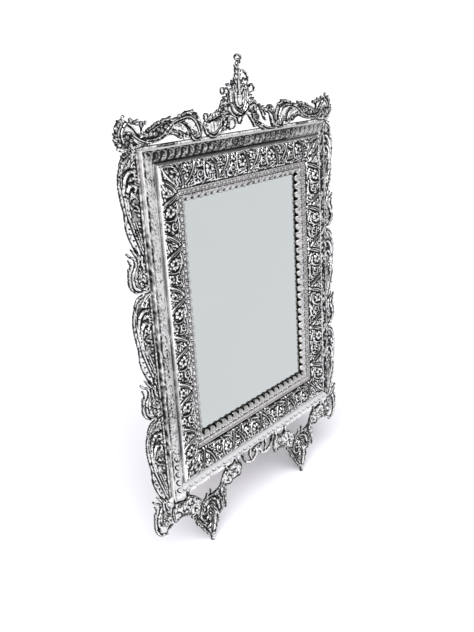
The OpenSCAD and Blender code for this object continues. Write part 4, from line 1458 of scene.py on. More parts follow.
@dataclass
class Casting:
    """One cast piece of the openwork: a flange and the scrolls that stand on it."""

    name: str
    node: str
    side: Side
    reach: tuple[float, float]
    strokes: Sequence[Stroke]
    sheets: Sequence[Points] = ()
    plates: Sequence[Points] = ()
    flowers: Sequence[Triple] = ()
    beads: Sequence[Triple] = ()
    rings: Sequence[Triple] = ()
    # pits: shallow hollows cut dark, patina in them and painted shade of deep holes
    pits: Sequence[Triple] = ()
    grooves: Sequence[Cut] = ()
    late_beads: Sequence[Triple] = ()
    limits: tuple[float, float] = (-60.0, 60.0)
    height: float = 30.0
    mirrored: bool = False
    floor: float | None = None
    step: float = 0.55
    base: float = 2.0
    most: float = 4.4
    hollow: float = 1.2
    sheet: float = 1.5
    show: float = 5.5
    top_show: float = 2.8
    plate_rise: float = 0.4
    chased_out: float = 2.6
    groove_floor: float = 1.5
    wall: float = 1.3
    mottle: float = 0.0
    side_light: float = 0.84
    side_dull: float = 0.17
    bead_rise: float = 2.2
    flower_rise: float = 2.1
    ring_rise: float = 2.3
    ring_open: float = 0.36

    def lay(self) -> Relief:
        """Lays the casting's scrolls and flange on a grid.

        Returns:
            The relief.
        """
        grid = Relief(self.limits, (-SIZES.flange_in - 0.5, self.height), self.step)
        for outline in self.plates:
            grid.plate(outline, self.plate_rise)
        for outline in self.sheets:
            grid.plate(outline, self.sheet)
        for s in self.strokes:
            grid.stroke(s)
        for x, z, r in self.flowers:
            grid.flower(x, z, r, 5, self.flower_rise, 17 * x)
        for x, z, r in self.beads:
            grid.bead(x, z, r, self.bead_rise)
        for x, z, r in self.rings:
            grid.bead(x, z, r, self.ring_rise, self.ring_open)
        clear = grid.z_grid - SIZES.edge_gap
        grid.rise = np.where(clear > 0, grid.rise, 0)
        half = SIZES.length(self.side) / 2
        show = self.top_show if self.side is Side.TOP else self.show
        flange = np.minimum.reduce([
            grid.z_grid + SIZES.flange_in, show - grid.z_grid, grid.x_grid - self.reach[0],
            self.reach[1] - grid.x_grid, half + grid.z_grid - np.abs(grid.x_grid)])
        grid.inside = np.maximum(np.minimum(grid.inside, clear), flange)
        if self.floor is not None:
            grid.inside = np.minimum(grid.inside, self.floor - grid.z_grid)
        return grid

    def build(self, finish: Material) -> Object:
        """Builds the casting and sets it on the frame.

        Args:
            finish: The silver it is dressed in.

        Returns:
            The casting's object.
        """
        grid = self.lay()
        # the pits are sunk and blackened: patina in the hollow, and painted shade standing in for a deep hole
        for x, z, r in self.pits:
            grid.groove([(x - 0.1, z), (x + 0.1, z)], 2 * r, 1.0)
        for points, width in self.grooves:
            grid.groove(points, width)
        for x, z, r in self.late_beads:
            away = np.hypot(grid.x_grid - x, grid.z_grid - z)
            grid.cut = np.where(away < r, 0, grid.cut)
            grid.bead(x, z, r, self.bead_rise)
        thick = SIZES.flange_back_y - SIZES.flange_y
        grain = chasing(grid.rise.shape, 0.75 / self.step, len(self.name) + abs(int(self.limits[1])))
        plain = blurred((np.abs(grid.rise - self.sheet) < 0.001) * 1.0, 0.5)
        rise = blurred(grid.rise, 0.5) + 0.13 * grain * (grid.rise > 0.1) * (1 - plain)
        on_flange = (grid.z_grid < (3.0 if self.side is Side.TOP else self.show + 0.2)) & (grid.inside > 0)
        ground = np.where(on_flange, thick, self.base)
        height = np.minimum(np.maximum(ground, self.base + rise), self.most)
        raised = rise > 0.8
        speck = np.clip((grain - 1.25) * 1.6, 0, 0.75) * raised * (np.abs(rise - self.sheet) > 0.25)
        speck = np.maximum(speck, np.clip((np.abs(grain) - 0.95) * 1.6, 0, self.mottle) * raised)
        cut = np.where(grid.z_grid > self.chased_out, np.maximum(grid.cut, speck), 0)
        height = height - cut * (height - self.groove_floor)
        clean = self.show + 0.4 if self.side is Side.BOTTOM else self.chased_out
        tarnish_and_painted_light = grid.tarnish(height) + unit(0.3 - rise) * 1.3 * (grid.z_grid > clean)
        tarnish_and_painted_light = tarnish_and_painted_light + 0.1 * (2.2 - rise) * (rise > 0.3) * (rise < 2.2) + 0.13 * grain + 0.02
        # painted shade round the casting's outline beyond the flange, where its edges fall away
        tarnish_and_painted_light = tarnish_and_painted_light + 0.5 * unit(1 - grid.inside / 0.7) * (grid.z_grid > max(SIZES.flange_show, self.show + 0.4))
        dull = 0.16 * self.mottle + (self.side_dull if self.side is Side.LEFT else 0)
        tarnish_and_painted_light = tarnish_and_painted_light * (1 - 0.9 * plain) + dull * plain * (1 + 0.6 * grain)
        # a line of painted shade along the root of the side castings' flange, where they meet the edge band
        line = peak(grid.z_grid - 0.7, 0.7) * np.clip(0.45 + 0.3 * blurred(grain, 2.0) * 3, 0, 0.8)
        if self.side.level:
            tarnish_and_painted_light = unit(np.maximum(tarnish_and_painted_light, cut))
        else:
            tarnish_and_painted_light = unit(self.side_light * np.maximum(np.maximum(tarnish_and_painted_light, cut), line))
        sign = -1.0 if self.mirrored else 1.0

        def place(x: Array, y: Array, z: Array) -> Array:
            """Takes grid places and depths to the upright frame."""
            return SIZES.place(self.side, sign * x, y, z)

        flip = (self.side in (Side.BOTTOM, Side.RIGHT)) != self.mirrored
        deep = np.minimum(blurred(height, 0.9 / self.step) - self.wall, height - 1.0)
        hollow = np.maximum(self.hollow, deep) * unit((grid.z_grid - self.show) / 9) ** 1.5
        back = SIZES.flange_back_y
        obj = outlined_mesh(self.name, grid, back - height, back - hollow, place, tarnish_and_painted_light, flip)
        settle(obj, finish, "frame", self.node)
        return obj


def sprig(spine: Points, count: int, length: tuple[float, float], angle: float, width: float = 2.6) -> list[Stroke]:
    """Gives small serrated leaves that stand off a line.

    Args:
        spine: Points that the line passes through.
        count: Number of leaves.
        length: Length of the first and of the last leaf.
        angle: Turn of the leaves from the line's direction, in degrees, to its left.
        width: Width of a leaf.

    Returns:
        One stroke for each leaf.
    """
    line = smooth_curve(spine)
    rng = np.random.default_rng(abs(int(7 * line[0, 0] + 3 * line[-1, 1])) + count)
    out = []
    for k in range(count):
        f = (k + 0.5) / count
        i = min(int(f * (len(line) - 1)), len(line) - 2)
        d = line[i + 1] - line[i]
        turn = math.atan2(d[1], d[0]) + math.radians(angle + rng.uniform(-14, 14))
        size = (length[0] + (length[1] - length[0]) * f) * rng.uniform(0.8, 1.15)
        x, z = line[i] + rng.uniform(-0.4, 0.4, 2)
        bend = turn + math.radians(rng.uniform(-26, 26))
        middle = (x + 0.5 * size * math.cos(turn), z + 0.5 * size * math.sin(turn))
        end = (middle[0] + 0.5 * size * math.cos(bend), middle[1] + 0.5 * size * math.sin(bend))
        wide, rise = width * rng.uniform(0.85, 1.15), rng.uniform(1.7, 2.2)
        out.append(Stroke([(x, z), middle, end], wide, rise, 0.35, LEAF, 0.3, 2.0))
    return out


@dataclass
class Openwork:
    """All the castings round the frame."""

    segment: float = 126.0
    centre_half: float = 57.0
    apron_half: float = 32.0
    foot_middle: float = 86.515
    foot_floor: float = 83.1

    def crest_left(self) -> list[Stroke]:
        """Gives the strokes of the crest's left half: bowl, spiked leaves, ring and the boss's left limbs.

        Returns:
            The strokes.
        """
        return [
            Stroke([(-56.5, 14), (-53.5, 8), (-49.5, 4), (-42.5, 1.8), (-36.5, 4), (-31.5, 8), (-25.5, 11)],
                   2.3, 2.4, 0.7),
            Stroke([(-51.5, 10), (-48.5, 6.6), (-42.5, 4.8), (-37, 7.2), (-32.5, 11.4)], 1.5, 2.2, 0.7),
            Stroke(spiral(-51.6, 20.6, 2.9, 2.9, 250, -300, 9), 1.7, 2.3, 0.8),
            *sprig([(-49, 17.4), (-42, 19.6), (-35, 22.4), (-28, 25.4)], 7, (4.4, 5.4), 40, 2.6),
            *sprig([(-50, 17), (-42, 18.6), (-34, 21), (-27, 23)], 7, (3.4, 4.4), 8, 2.4),
            Stroke([(-44.5, 8.6), (-43.5, 13.6), (-41.3, 16), (-39.3, 13.8), (-39.1, 9)], 1.5, 2.2, 0.7),
            Stroke([(-37.8, 10.6), (-36.4, 15), (-34, 16.4), (-32.8, 13)], 1.5, 2.2, 0.7),
            Stroke([(-32, 8.6), (-31, 13), (-30, 18)], 2.2, 2.0, 0.6),
            Stroke([(-17.4, 17), (-17.2, 28), (-18.4, 36), (-19.4, 40)], 2.6, 2.1, 0.5, LEAF, 0.3, 2.6),
            *sprig([(-18, 19), (-18.6, 27), (-18.6, 38)], 5, (13, 5.5), 80, 3.2),
            *sprig([(-19, 21), (-20, 28), (-19.6, 36)], 5, (8, 4), 62, 2.6),
            *sprig([(-22, 23), (-22.4, 14), (-25, 6)], 6, (5, 4.6), -62, 2.7),
            *sprig([(-18, 20), (-19, 12), (-24, 6), (-34, 3)], 8, (4.4, 4), -20, 2.7),
            Stroke([(-17.4, 17.2), (-12, 16.4), (-8.6, 13.4), (-9.2, 9), (-13, 6.4)], 1.6, 2.2, 0.6),
            Stroke(spiral(-25.2, 42.6, 2.8, 2.8, 30, 320, 9), 1.7, 2.3, 0.8),
            Stroke([(-23, 43.8), (-19, 44.8), (-15.6, 42)], 2.0, 2.2, 0.7),
            *sprig([(-8, 43), (-12, 46.6), (-17, 46.6)], 4, (4.4, 4), -30, 2.8),
            Stroke([(-14, 43), (-14.2, 34), (-11.6, 26.6), (-5, 21), (2, 18.6)], 3.0, 2.4, 0.8),
            Stroke([(-10.6, 31), (-8, 25.4), (-2, 21.6)], 1.7, 2.2, 0.5),
            Stroke([(-6, 39), (-6, 32.4), (-4.2, 28), (-0.4, 26)], 2.6, 2.4, 0.8),
            Stroke([(-17.4, 28), (-14.6, 21.6), (-8.6, 17.6), (-2, 16)], 1.7, 2.2, 0.6),
            Stroke([(-5.6, 16.4), (-3.6, 12), (-0.8, 10.2), (1.6, 12.4), (3, 15.4)], 1.7, 2.2, 0.7),
        ]

    def crest_right(self) -> list[Stroke]:
        """Gives the strokes of the crest's right half: the boss's right limbs, ring, leaves and hanging strands.

        Returns:
            The strokes.
        """
        return [
            Stroke([(5, 40), (5.8, 34), (4.8, 28.6), (1, 26.2)], 1.8, 2.4, 0.8),
            Stroke([(8, 41), (8.6, 34), (7.8, 28), (4.6, 23.6)], 1.6, 2.4, 0.8),
            Stroke([(11.2, 41), (11.8, 33), (10.6, 26), (6, 20.6), (0, 17.6)], 2.0, 2.4, 0.8),
            Stroke([(13, 24), (8.6, 19.4), (3, 16.6)], 1.8, 2.2, 0.6),
            Stroke([(13.4, 33), (14, 40), (16, 45), (20, 46.6), (23.4, 44), (23, 40.4), (20.4, 39.6)], 2.1, 2.4, 0.7),
            *sprig([(13.6, 22), (14, 30), (14, 38)], 6, (13, 5), -76, 3.0),
            *sprig([(14, 20), (15, 28), (15, 36)], 5, (8, 4), -52, 2.6),
            Stroke(spiral(25.4, 23.4, 2.8, 2.2, 60, 330, 9), 1.7, 2.2, 0.8),
            Stroke([(10, 19.4), (15, 14.6), (19, 10.6), (23, 5)], 2.2, 2.3, 0.7),
            Stroke([(20, 18), (26.6, 17.4), (30, 13.6), (28, 9.4), (24, 10)], 1.8, 2.2, 0.7),
            *sprig([(17, 18), (22, 12), (28, 7), (34, 4)], 7, (4.4, 4), 40, 2.6),
            *sprig([(27, 26.6), (35, 23), (43, 20.6), (49, 21.4)], 7, (4.4, 3.6), 24, 2.6),
            Stroke([(29, 24), (34, 19.6), (37, 14.4), (41.4, 10)], 2.3, 2.3, 0.6),
            Stroke([(33, 24.6), (38, 20), (41, 15)], 1.7, 2.2, 0.6),
            Stroke([(43, 21), (45.6, 24), (50.6, 24.4), (54, 21.6), (52, 18.8)], 1.8, 2.3, 0.7),
            Stroke([(42, 20.6), (47, 17), (51.6, 11.6), (53.6, 4)], 2.2, 2.2, 0.6),
            Stroke([(46, 22), (51, 18), (56, 13)], 2.2, 2.1, 0.6, LEAF, 0.2),
            Stroke([(26, 12), (33, 7.4), (42, 3.6), (52, 1.2), (58, 2)], 2.1, 2.3, 0.7),
            Stroke([(23, 8), (30, 5), (38, 2)], 1.9, 2.2, 0.7),
            *sprig([(53, 3), (57.6, 9), (58.4, 16), (55.6, 22)], 7, (4, 4), 60, 2.8),
        ]

    def crest_middle(self) -> list[Stroke]:
        """Gives the strokes of the crest's plume, side lobe and finial.

        Returns:
            The strokes.
        """
        return [
            Stroke([(0, 34), (-0.6, 42), (-0.8, 50), (0.4, 58), (0.8, 62)], 2.6, 2.4, 0.8),
            *sprig([(-4, 40), (-4, 50), (-2, 63)], 6, (10.5, 4.6), 34, 3.0),
            *sprig([(-2.6, 38), (-3, 50), (-1.6, 64)], 6, (7, 5), 16, 2.8),
            Stroke([(-0.4, 58), (0, 64), (0.6, 68)], 2.6, 2.2, 0.9),
            Stroke([(2.4, 50), (3, 56), (5.6, 60), (10, 58.4), (13.6, 54.6), (14.6, 50), (13, 47)],
                   2.6, 2.3, 0.6, LEAF, 0.15, 2.6),
            Stroke([(5, 46), (5.6, 51), (8.8, 53.4), (10.6, 50.6)], 1.6, 2.3, 0.7),
            Stroke([(3, 41), (5, 44.6), (8.4, 43), (10.4, 46.6), (13.6, 45)], 1.7, 2.2, 0.7),
            Stroke([(2.6, 46.6), (5, 48.6), (7.6, 47.6)], 1.6, 2.2, 0.7),
            Stroke([(0.4, 66), (3.4, 69), (4.6, 72), (2.6, 74.4), (-1.4, 74.8), (-4, 72.6), (-2, 70.4), (1, 71)],
                   2.1, 2.4, 0.8),
            Stroke([(-3.4, 66.4), (-1.8, 68), (0.6, 69)], 1.8, 2.2, 0.7),
        ]

    def crest(self, finish: Material) -> None:
        """Builds the crest's middle.

        Args:
            finish: The silver it is dressed in.
        """
        cuts = [([(-54.5, 12), (-51, 7), (-42.5, 3.4), (-36.5, 5.6), (-31.5, 10)], 0.8),
                ([(-46.3, 8), (-45, 15), (-41.5, 17.6)], 0.7), ([(-41.5, 8), (-41.4, 13), (-40.9, 14.4)], 0.9),
                ([(-35.6, 10), (-35, 13.4), (-34.2, 14)], 0.9),
                ([(-49, 15.4), (-42, 16.8), (-35, 18.6), (-29, 20.4)], 1.1),
                ([(-27.6, 8), (-26.4, 13), (-27, 18)], 1.1), ([(-19.4, 22), (-19.8, 28), (-20.6, 34)], 1.3),
                ([(-16, 41), (-16.2, 33), (-14, 25.6), (-8, 19.6), (-2, 17.4)], 1.1),
                ([(-12.2, 43), (-12.2, 34), (-10, 27), (-4, 22), (2, 20.4)], 1.2),
                ([(-8.2, 41), (-8.2, 32), (-6, 26.6), (-1, 24.2)], 1.5), ([(-4, 37), (-4, 32), (-2, 29)], 1.2),
                ([(3.2, 38), (3.8, 32), (2, 28.8)], 1.0), ([(7, 41), (7.2, 34), (6.2, 28), (2.6, 24.6)], 0.9),
                ([(10, 41), (10.2, 33), (9.2, 26.4), (4.6, 21.6)], 1.0),
                ([(12.4, 28), (8.6, 21.6), (1, 18), (-4, 18.4)], 1.9), ([(13.6, 26), (14, 32), (14, 37)], 1.1),
                ([(25.3, 23.4), (25.5, 23.4)], 2.0), ([(15.6, 18.6), (20, 16), (23, 11)], 1.0),
                ([(24.6, 15), (26.6, 12.6)], 1.4), ([(27.6, 25), (33, 21.4), (36, 17), (39, 11.6)], 1.0),
                ([(36, 23), (41, 18.6), (45, 18.6)], 1.2), ([(46.4, 21.8), (49.6, 21.6)], 1.5),
                ([(48, 19), (52, 13.4), (54.6, 7)], 1.2), ([(51.8, 4.4), (52.2, 4.4)], 3.0),
                ([(-2.6, 36), (-3, 44), (-2.6, 52)], 1.2), ([(1.6, 38), (1.2, 46), (1.4, 52), (3.4, 57)], 1.0),
                ([(5.4, 57), (8.6, 55.6), (11.6, 52)], 1.2), ([(6.8, 50.6), (8.4, 49.6)], 1.4),
                ([(3.8, 50), (3.4, 46)], 1.0), ([(-2, 12.8), (0, 13.6)], 1.5)]
        Casting("silver_crest_centre", "crest_centre", Side.TOP, (-self.centre_half, self.centre_half),
                [*self.crest_left(), *self.crest_right(), *self.crest_middle()], self.crest_sheets(),
                self.crest_plates(), flowers=[(-52.6, 13, 3.6)],
                beads=[(-2, 22.8, 1.0), (1.4, 23.8, 1.0), (5, 22.6, 1.0), (7.6, 24.4, 0.9), (3.4, 31, 1.7),
                       (26, 15.4, 1.2), (55.6, 5, 1.6)], grooves=cuts, limits=(-60, 60), height=78,
                plate_rise=0.8).build(finish)

    @staticmethod
    def crest_sheets() -> list[Points]:
        """Gives the bright sheets of the bowl, of the light leaf and of the boss's heart.

        Returns:
            Their outlines.
        """
        return [[(-52, 10), (-48, 6), (-42, 4.4), (-36, 7), (-33, 13), (-36, 16), (-44, 16), (-51, 15)],
                [(-17, 15.6), (-13, 15), (-10.4, 12.4), (-11, 9), (-15, 6.4), (-18.6, 9)],
                [(-4.6, 36), (-4.4, 31), (-2, 27.6), (2, 28), (4, 32), (4, 38), (0, 38)]]

    @staticmethod
    def crest_plates() -> list[Points]:
        """Gives the dark ground between the crest's strokes.

        Returns:
            Its outlines.
        """
        return [[(-56, 12), (-53, 6), (-44, 2), (-37, 4.6), (-29, 12), (-31, 22), (-42, 18), (-49, 16.6), (-54, 17)],
                [(-19, 24), (-17, 41), (-12, 45), (-4, 44), (-2, 60), (3, 58), (3, 48), (12, 44), (12.6, 24), (6, 17),
                 (-6, 16), (-14, 19)], [(-32, 26), (-28, 34), (-20, 38), (-18, 26), (-19, 12), (-27, 8), (-29, 16)],
                [(-19, 16), (-13, 15.4), (-10, 12), (-11, 8.4), (-16, 5), (-20, 8)],
                [(11, 38), (20, 34), (27, 30), (28, 18), (22, 18), (14, 20)],
                [(20, 18), (28, 16), (28, 9), (23, 6), (19, 12)],
                [(27, 26), (38, 22), (48, 21), (54, 10), (56, 3), (53, 3), (47, 16), (40, 19), (33, 21)]]

    def wing(self, mirrored: bool, finish: Material) -> None:
        """Builds one wing of the crest: a corner ear and a swag of long strands over light sheets.

        Args:
            mirrored: True for the right wing.
            finish: The silver it is dressed in.
        """
        ear = [
            *sprig([(-158.6, 1), (-162.6, 7), (-164.4, 13), (-163.4, 19), (-159.6, 24), (-153.6, 27.4)], 14,
                   (4.4, 4.2), 48, 3.0),
            *sprig([(-158, 1), (-161.4, 7), (-163, 13), (-162, 18), (-158.4, 23)], 11, (4.0, 4.0), 12, 2.6),
            Stroke([(-158.6, 8), (-160.2, 14), (-157.6, 20), (-153.4, 24), (-149.2, 22.4), (-145.2, 19), (-141.2, 15),
                    (-137.2, 12.4), (-131, 10.6)], 1.9, 2.4, 0.8),
            Stroke([(-158.6, 15.4), (-155, 16.2), (-149.4, 15.4), (-145, 12.2), (-139, 8.6), (-131, 6), (-121, 5)],
                   1.8, 2.3, 0.8),
            Stroke([(-148.4, 12.2), (-142.4, 8), (-135, 5)], 1.5, 2.2, 0.8),
            Stroke([(-146.4, 9.2), (-141, 5.6), (-134, 3.4)], 1.4, 2.1, 0.8),
            *sprig([(-160, 3), (-154, 2), (-147, 2.4), (-140, 3)], 7, (4, 3.4), 30, 2.6),
            Stroke([(-149, 24.4), (-141.6, 21.6), (-133, 21)], 1.3, 2.0, 0.8),
            Stroke([(-136, 20), (-136, 14)], 1.3, 2.0, 0.8),
        ]
        swag = [
            *sprig([(-139, 12.2), (-130, 14.8), (-119, 19.2), (-110, 22.2), (-103, 22.8), (-97, 21.4)], 14,
                   (4.8, 4.4), 14, 2.8),
            *sprig([(-99, 20.4), (-89, 23.2), (-81, 25.6), (-74, 26.6), (-68, 24.8), (-62.4, 20.6), (-59.6, 15)], 14,
                   (4.8, 4.4), 12, 3.0),
            Stroke([(-138, 10.6), (-124, 15.6), (-113, 19.4), (-104, 20.8)], 1.5, 2.4, 0.8),
            Stroke([(-134, 7.6), (-120, 7.8), (-110, 11), (-102, 16.4), (-95.6, 20.2), (-86, 22.4), (-76, 23),
                    (-69, 19.8), (-65, 14), (-63, 8)], 2.0, 2.4, 0.8),
            Stroke([(-131, 5.4), (-119, 5.6), (-108, 8.8), (-100, 14), (-94, 18), (-85, 20.2), (-76.6, 20.8),
                    (-70.6, 17.6), (-67, 12), (-65.4, 7)], 1.6, 2.3, 0.8),
            Stroke([(-84, 18.6), (-77.4, 15.8), (-73.6, 10.6)], 1.4, 2.2, 0.6),
            Stroke([(-97, 17.2), (-89, 18), (-82.6, 14.4), (-79.2, 8.6), (-79.6, 5.2)], 1.9, 2.4, 0.8),
            Stroke([(-92, 15.6), (-86.6, 13.4), (-83, 9)], 1.3, 2.2, 0.6),
            *sprig([(-128, 4.8), (-116, 7.6), (-106, 11.6), (-98, 13), (-90, 11.4), (-84, 8)], 13, (3.8, 3.6), -14,
                   2.4),
            Stroke([(-130, 3.8), (-116, 6), (-106, 9), (-97, 9.2), (-91, 6.8), (-87, 4.6)], 1.6, 2.2, 0.8),
            Stroke([(-90.4, 6), (-87.4, 8.8), (-84.2, 7.6), (-83.4, 4)], 1.6, 2.3, 0.8),
            Stroke([(-83, 7.6), (-79.6, 5.6), (-75, 4.4)], 1.6, 2.2, 0.8),
            Stroke([(-74.4, 6.4), (-70.8, 2.4), (-65.6, 1), (-61.4, 2.8)], 1.9, 2.3, 0.8),
            *sprig([(-71, 5.4), (-65, 3.4), (-58.6, 7)], 5, (3.6, 3.6), 30, 2.4),
            *sprig([(-65, 19.6), (-61.4, 16), (-60, 10), (-60, 3)], 7, (4.2, 4), 34, 2.8),
            Stroke([(-120, 2.4), (-108, 1.6), (-96, 1.8)], 1.4, 1.9, 0.6),
        ]
        sheets = [[(-158, 16.6), (-153.6, 22.6), (-147.6, 18.6), (-143, 12.6), (-150, 14.4), (-156, 15.6)],
                  [(-83, 20), (-75, 20), (-69, 16), (-65.4, 8), (-70, 10.6), (-74, 12), (-79, 17)],
                  [(-98, 15.4), (-91, 17.4), (-85, 15.4), (-80.4, 11), (-82, 8.6), (-88, 12), (-96, 13.8)]]
        ground = [[(-161, 2), (-163, 13), (-160, 21), (-153, 26), (-147, 21.6), (-140, 13.6), (-131, 10), (-124, 5),
                   (-140, 2.4), (-150, 1.4)],
                  [(-139, 10), (-129, 14), (-119, 18.4), (-110, 21.2), (-103, 21.8), (-97, 20.8), (-89, 22.4),
                   (-81, 24.6), (-74, 25.6), (-67, 23.2), (-62, 19), (-59.6, 12), (-60, 3), (-66, 2), (-72, 5),
                   (-76, 9), (-82, 7), (-90, 9), (-97, 11), (-106, 10), (-116, 7), (-128, 4)]]
        word = "right" if mirrored else "left"
        Casting("silver_crest_wing_" + word, "crest_wing_" + word, Side.TOP, (-SIZES.width, -self.centre_half),
                [*ear, *swag], sheets, ground,
                flowers=[(-158, 11, 2.5), (-153.6, 12.2, 2.2), (-149.6, 9.2, 2.2), (-155, 7.4, 2.4),
                         (-150.4, 5.4, 2.2), (-158.6, 5.6, 2.0), (-147.6, 26, 2.0), (-143.4, 23.6, 2.2),
                         (-139.6, 24.6, 2.0), (-130.4, 22.2, 2.0), (-131, 12, 2.2), (-125.6, 12.6, 2.3),
                         (-120.6, 11.8, 2.2), (-116.4, 15, 2.3), (-111.6, 14, 2.2), (-106.6, 17, 2.2),
                         (-70.4, 9.6, 3.6), (-65.6, 6.6, 2.2), (-100.6, 11.6, 1.8)], rings=[(-135.4, 21.4, 2.9)],
                beads=[(-135.8, 15, 1.3), (-112, 17.6, 1.0), (-122, 15.4, 1.0)], limits=(-172, -55), height=31,
                mirrored=mirrored, plate_rise=0.8).build(finish)

    def side_strokes(self, top: float) -> tuple[list, ...]:
        """Gives one length of side border, hung from the given height.

        Args:
            top: Place of the length's upper end along the side.

        Returns:
            Strokes, plates, flowers, beads in the grooves, and grooves.
        """
        strokes = [
            Stroke([(3, 13), (9, 20), (17, 23.6), (27, 24.4), (38, 23.6), (48, 22.4), (56, 21.4)],
                   5.6, 2.0, 0.4, LEAF, 0.16, 3.6),
            Stroke([(58, 18.6), (48, 20), (38, 20.9), (28, 20.9), (21, 18.8), (17, 15), (15.3, 11), (16.8, 7.6),
                    (20, 6.8), (21.6, 9)], 3.2, 2.3, 0.7),
            Stroke([(54, 16.8), (46, 18.2), (38, 18.4), (31, 16.6), (27.4, 12.6), (28, 9), (31, 7.6), (33.6, 9)],
                   3.0, 2.4, 0.7),
            Stroke([(48, 20), (56, 18.4), (64, 15.6), (72, 12.8), (80, 9.8), (89, 6.6)], 2.3, 2.4, 0.8),
            Stroke([(50, 22.6), (60, 22.6), (68, 20.8), (76, 17.8), (84, 14.2), (93, 10.4)], 3.2, 2.2, 0.6),
            Stroke([(60, 13.4), (68, 10.9), (77, 8.2), (85, 5.6)], 1.6, 2.0, 0.8),
            Stroke([(59, 11), (66, 9), (74, 6.8), (82, 4.6)], 1.4, 1.7, 0.8),
            Stroke([(33, 13.6), (36, 11), (38.4, 7)], 2.5, 2.2, 0.5, LEAF),
            Stroke([(40, 14), (43.4, 11.4), (46, 7.4)], 2.5, 2.1, 0.5, LEAF),
            Stroke([(42, 17), (47, 13.4), (50, 8)], 2.2, 2.0, 0.5),
            Stroke([(85, 25.4), (88.4, 22), (90.6, 18), (95, 16.4), (100, 18), (104.5, 20.8), (110, 21.6),
                    (116, 20.6), (121, 17), (123.6, 10)], 2.9, 2.4, 0.7),
            Stroke([(91, 24.4), (94, 22.6), (98, 22.6), (101, 24.6)], 2.3, 2.2, 0.6),
            Stroke([(99, 25), (105, 25.2), (112, 25.4), (118, 23), (123, 17.6)], 3.6, 2.0, 0.5, LEAF, 0.3, 2.6),
            Stroke([(82, 20), (87, 16), (93, 12.4)], 2.6, 2.0, 0.5, LEAF),
            Stroke([(90, 12.4), (96, 13), (102, 11.4)], 3.2, 2.0, 0.5, LEAF, 0.2),
            Stroke([(1, 5), (5, 11.6), (12, 17.6)], 4.4, 2.0, 0.5, LEAF, 0.3, 2.8),
            Stroke([(3, 4), (8, 8.4), (13, 9.6)], 4.0, 2.0, 0.5, LEAF, 0.3, 2.6),
            Stroke([(0, 12), (3, 18), (9, 23)], 3.4, 2.0, 0.5, LEAF, 0.3, 2.6),
            *[Stroke([(18.6 + 2.6 * k, 6.6 + 0.3 * k), (20.4 + 2.6 * k, 2.6)], 1.3, 1.8, 0.7) for k in range(5)],
            Stroke([(108, 4), (112, 9), (111, 17.5)], 3.0, 1.8, 0.9, LEAF),
            Stroke([(119, 2.6), (121, 8), (123, 11)], 3.4, 2.0, 0.7, LEAF),
            Stroke([(91, 7.6), (97, 9), (103, 6)], 2.4, 2.0, 0.6),
        ]
        place = Shift(top - 1.2, -0.6, -1)
        plates = [[(0, 2), (3, 10), (8, 17), (17, 22), (28, 23.6), (42, 21.6), (55, 18), (66, 14.6), (80, 9.4),
                   (90, 5), (90, 2)],
                  [(88, 2), (89, 8), (94, 15), (101, 17), (106, 20), (116, 19), (122, 10), (124, 2)]]
        cuts = [([(13, 7), (13.2, 13), (16, 19.4), (21, 22.4)], 1.2),
                ([(16, 23.4), (24, 24.6), (34, 23.6), (46, 22), (54, 20.9)], 0.9),
                ([(18.4, 8.6), (18.6, 12), (22, 15), (28, 16.4)], 2.8),
                ([(24, 9), (24.4, 13.4), (28, 18), (36, 19.8)], 1.5),
                ([(31, 9.6), (31, 13), (35, 15.4), (41, 16)], 3.0), ([(38.6, 9.4), (39.8, 12.4), (44.6, 15.6)], 2.2),
                ([(36, 6), (39, 5.6), (41, 7)], 1.2), ([(47, 8), (48, 13), (54, 15), (59, 14)], 1.2),
                ([(54, 20.8), (62, 19), (70, 16.6), (78, 13.2), (87, 9.2)], 4.0),
                ([(59, 12.4), (67, 9.9), (77, 7)], 0.8), ([(60, 14.8), (68, 12), (78, 8.9), (86, 6.4)], 0.8),
                ([(60, 24.4), (68, 22.9), (77, 19)], 0.8), ([(88, 8.6), (93, 6), (98, 4.6)], 1.6),
                ([(80, 18), (86, 13.4), (91, 10.6)], 0.9), ([(84, 21), (88, 17.6), (91, 14.6), (96, 14)], 1.0),
                ([(91.6, 21), (95, 19.4), (99, 20.4), (103, 23.4)], 1.8),
                ([(98, 14.4), (103, 17.4), (109, 19.2), (115, 18.4), (120, 14.6), (122, 9)], 1.6),
                ([(106, 23.4), (113, 23.6), (119, 20.6), (123.4, 14)], 1.1), ([(106, 12), (109, 15), (114, 15)], 1.0),
                ([(2, 9), (7, 14), (14, 18.6)], 0.9), ([(5, 5), (9, 10), (14, 13)], 0.9),
                ([(2, 15), (6, 20), (13, 23)], 0.9), ([(104, 9), (108, 7), (110, 3)], 0.9),
                ([(113, 11), (116, 8), (116, 4)], 0.9), ([(120, 12), (117, 14), (113, 13)], 0.8)]
        flowers = [(110, 12, 3.7), (116.4, 11.4, 3.2), (105.4, 11, 2.7), (113, 6, 3.2), (119, 5.6, 2.6),
                   (36, 11, 3.4), (9, 12.4, 3.0)]
        beads = [(64, 18.2, 1.0), (69.4, 16.8, 1.2), (75, 14.6, 1.1), (80.4, 12, 0.9)]
        level = replace(place, z=0.0)
        return (place.strokes(strokes), level.lines(plates), level.rounds(flowers), level.rounds(beads),
                place.cuts(cuts))

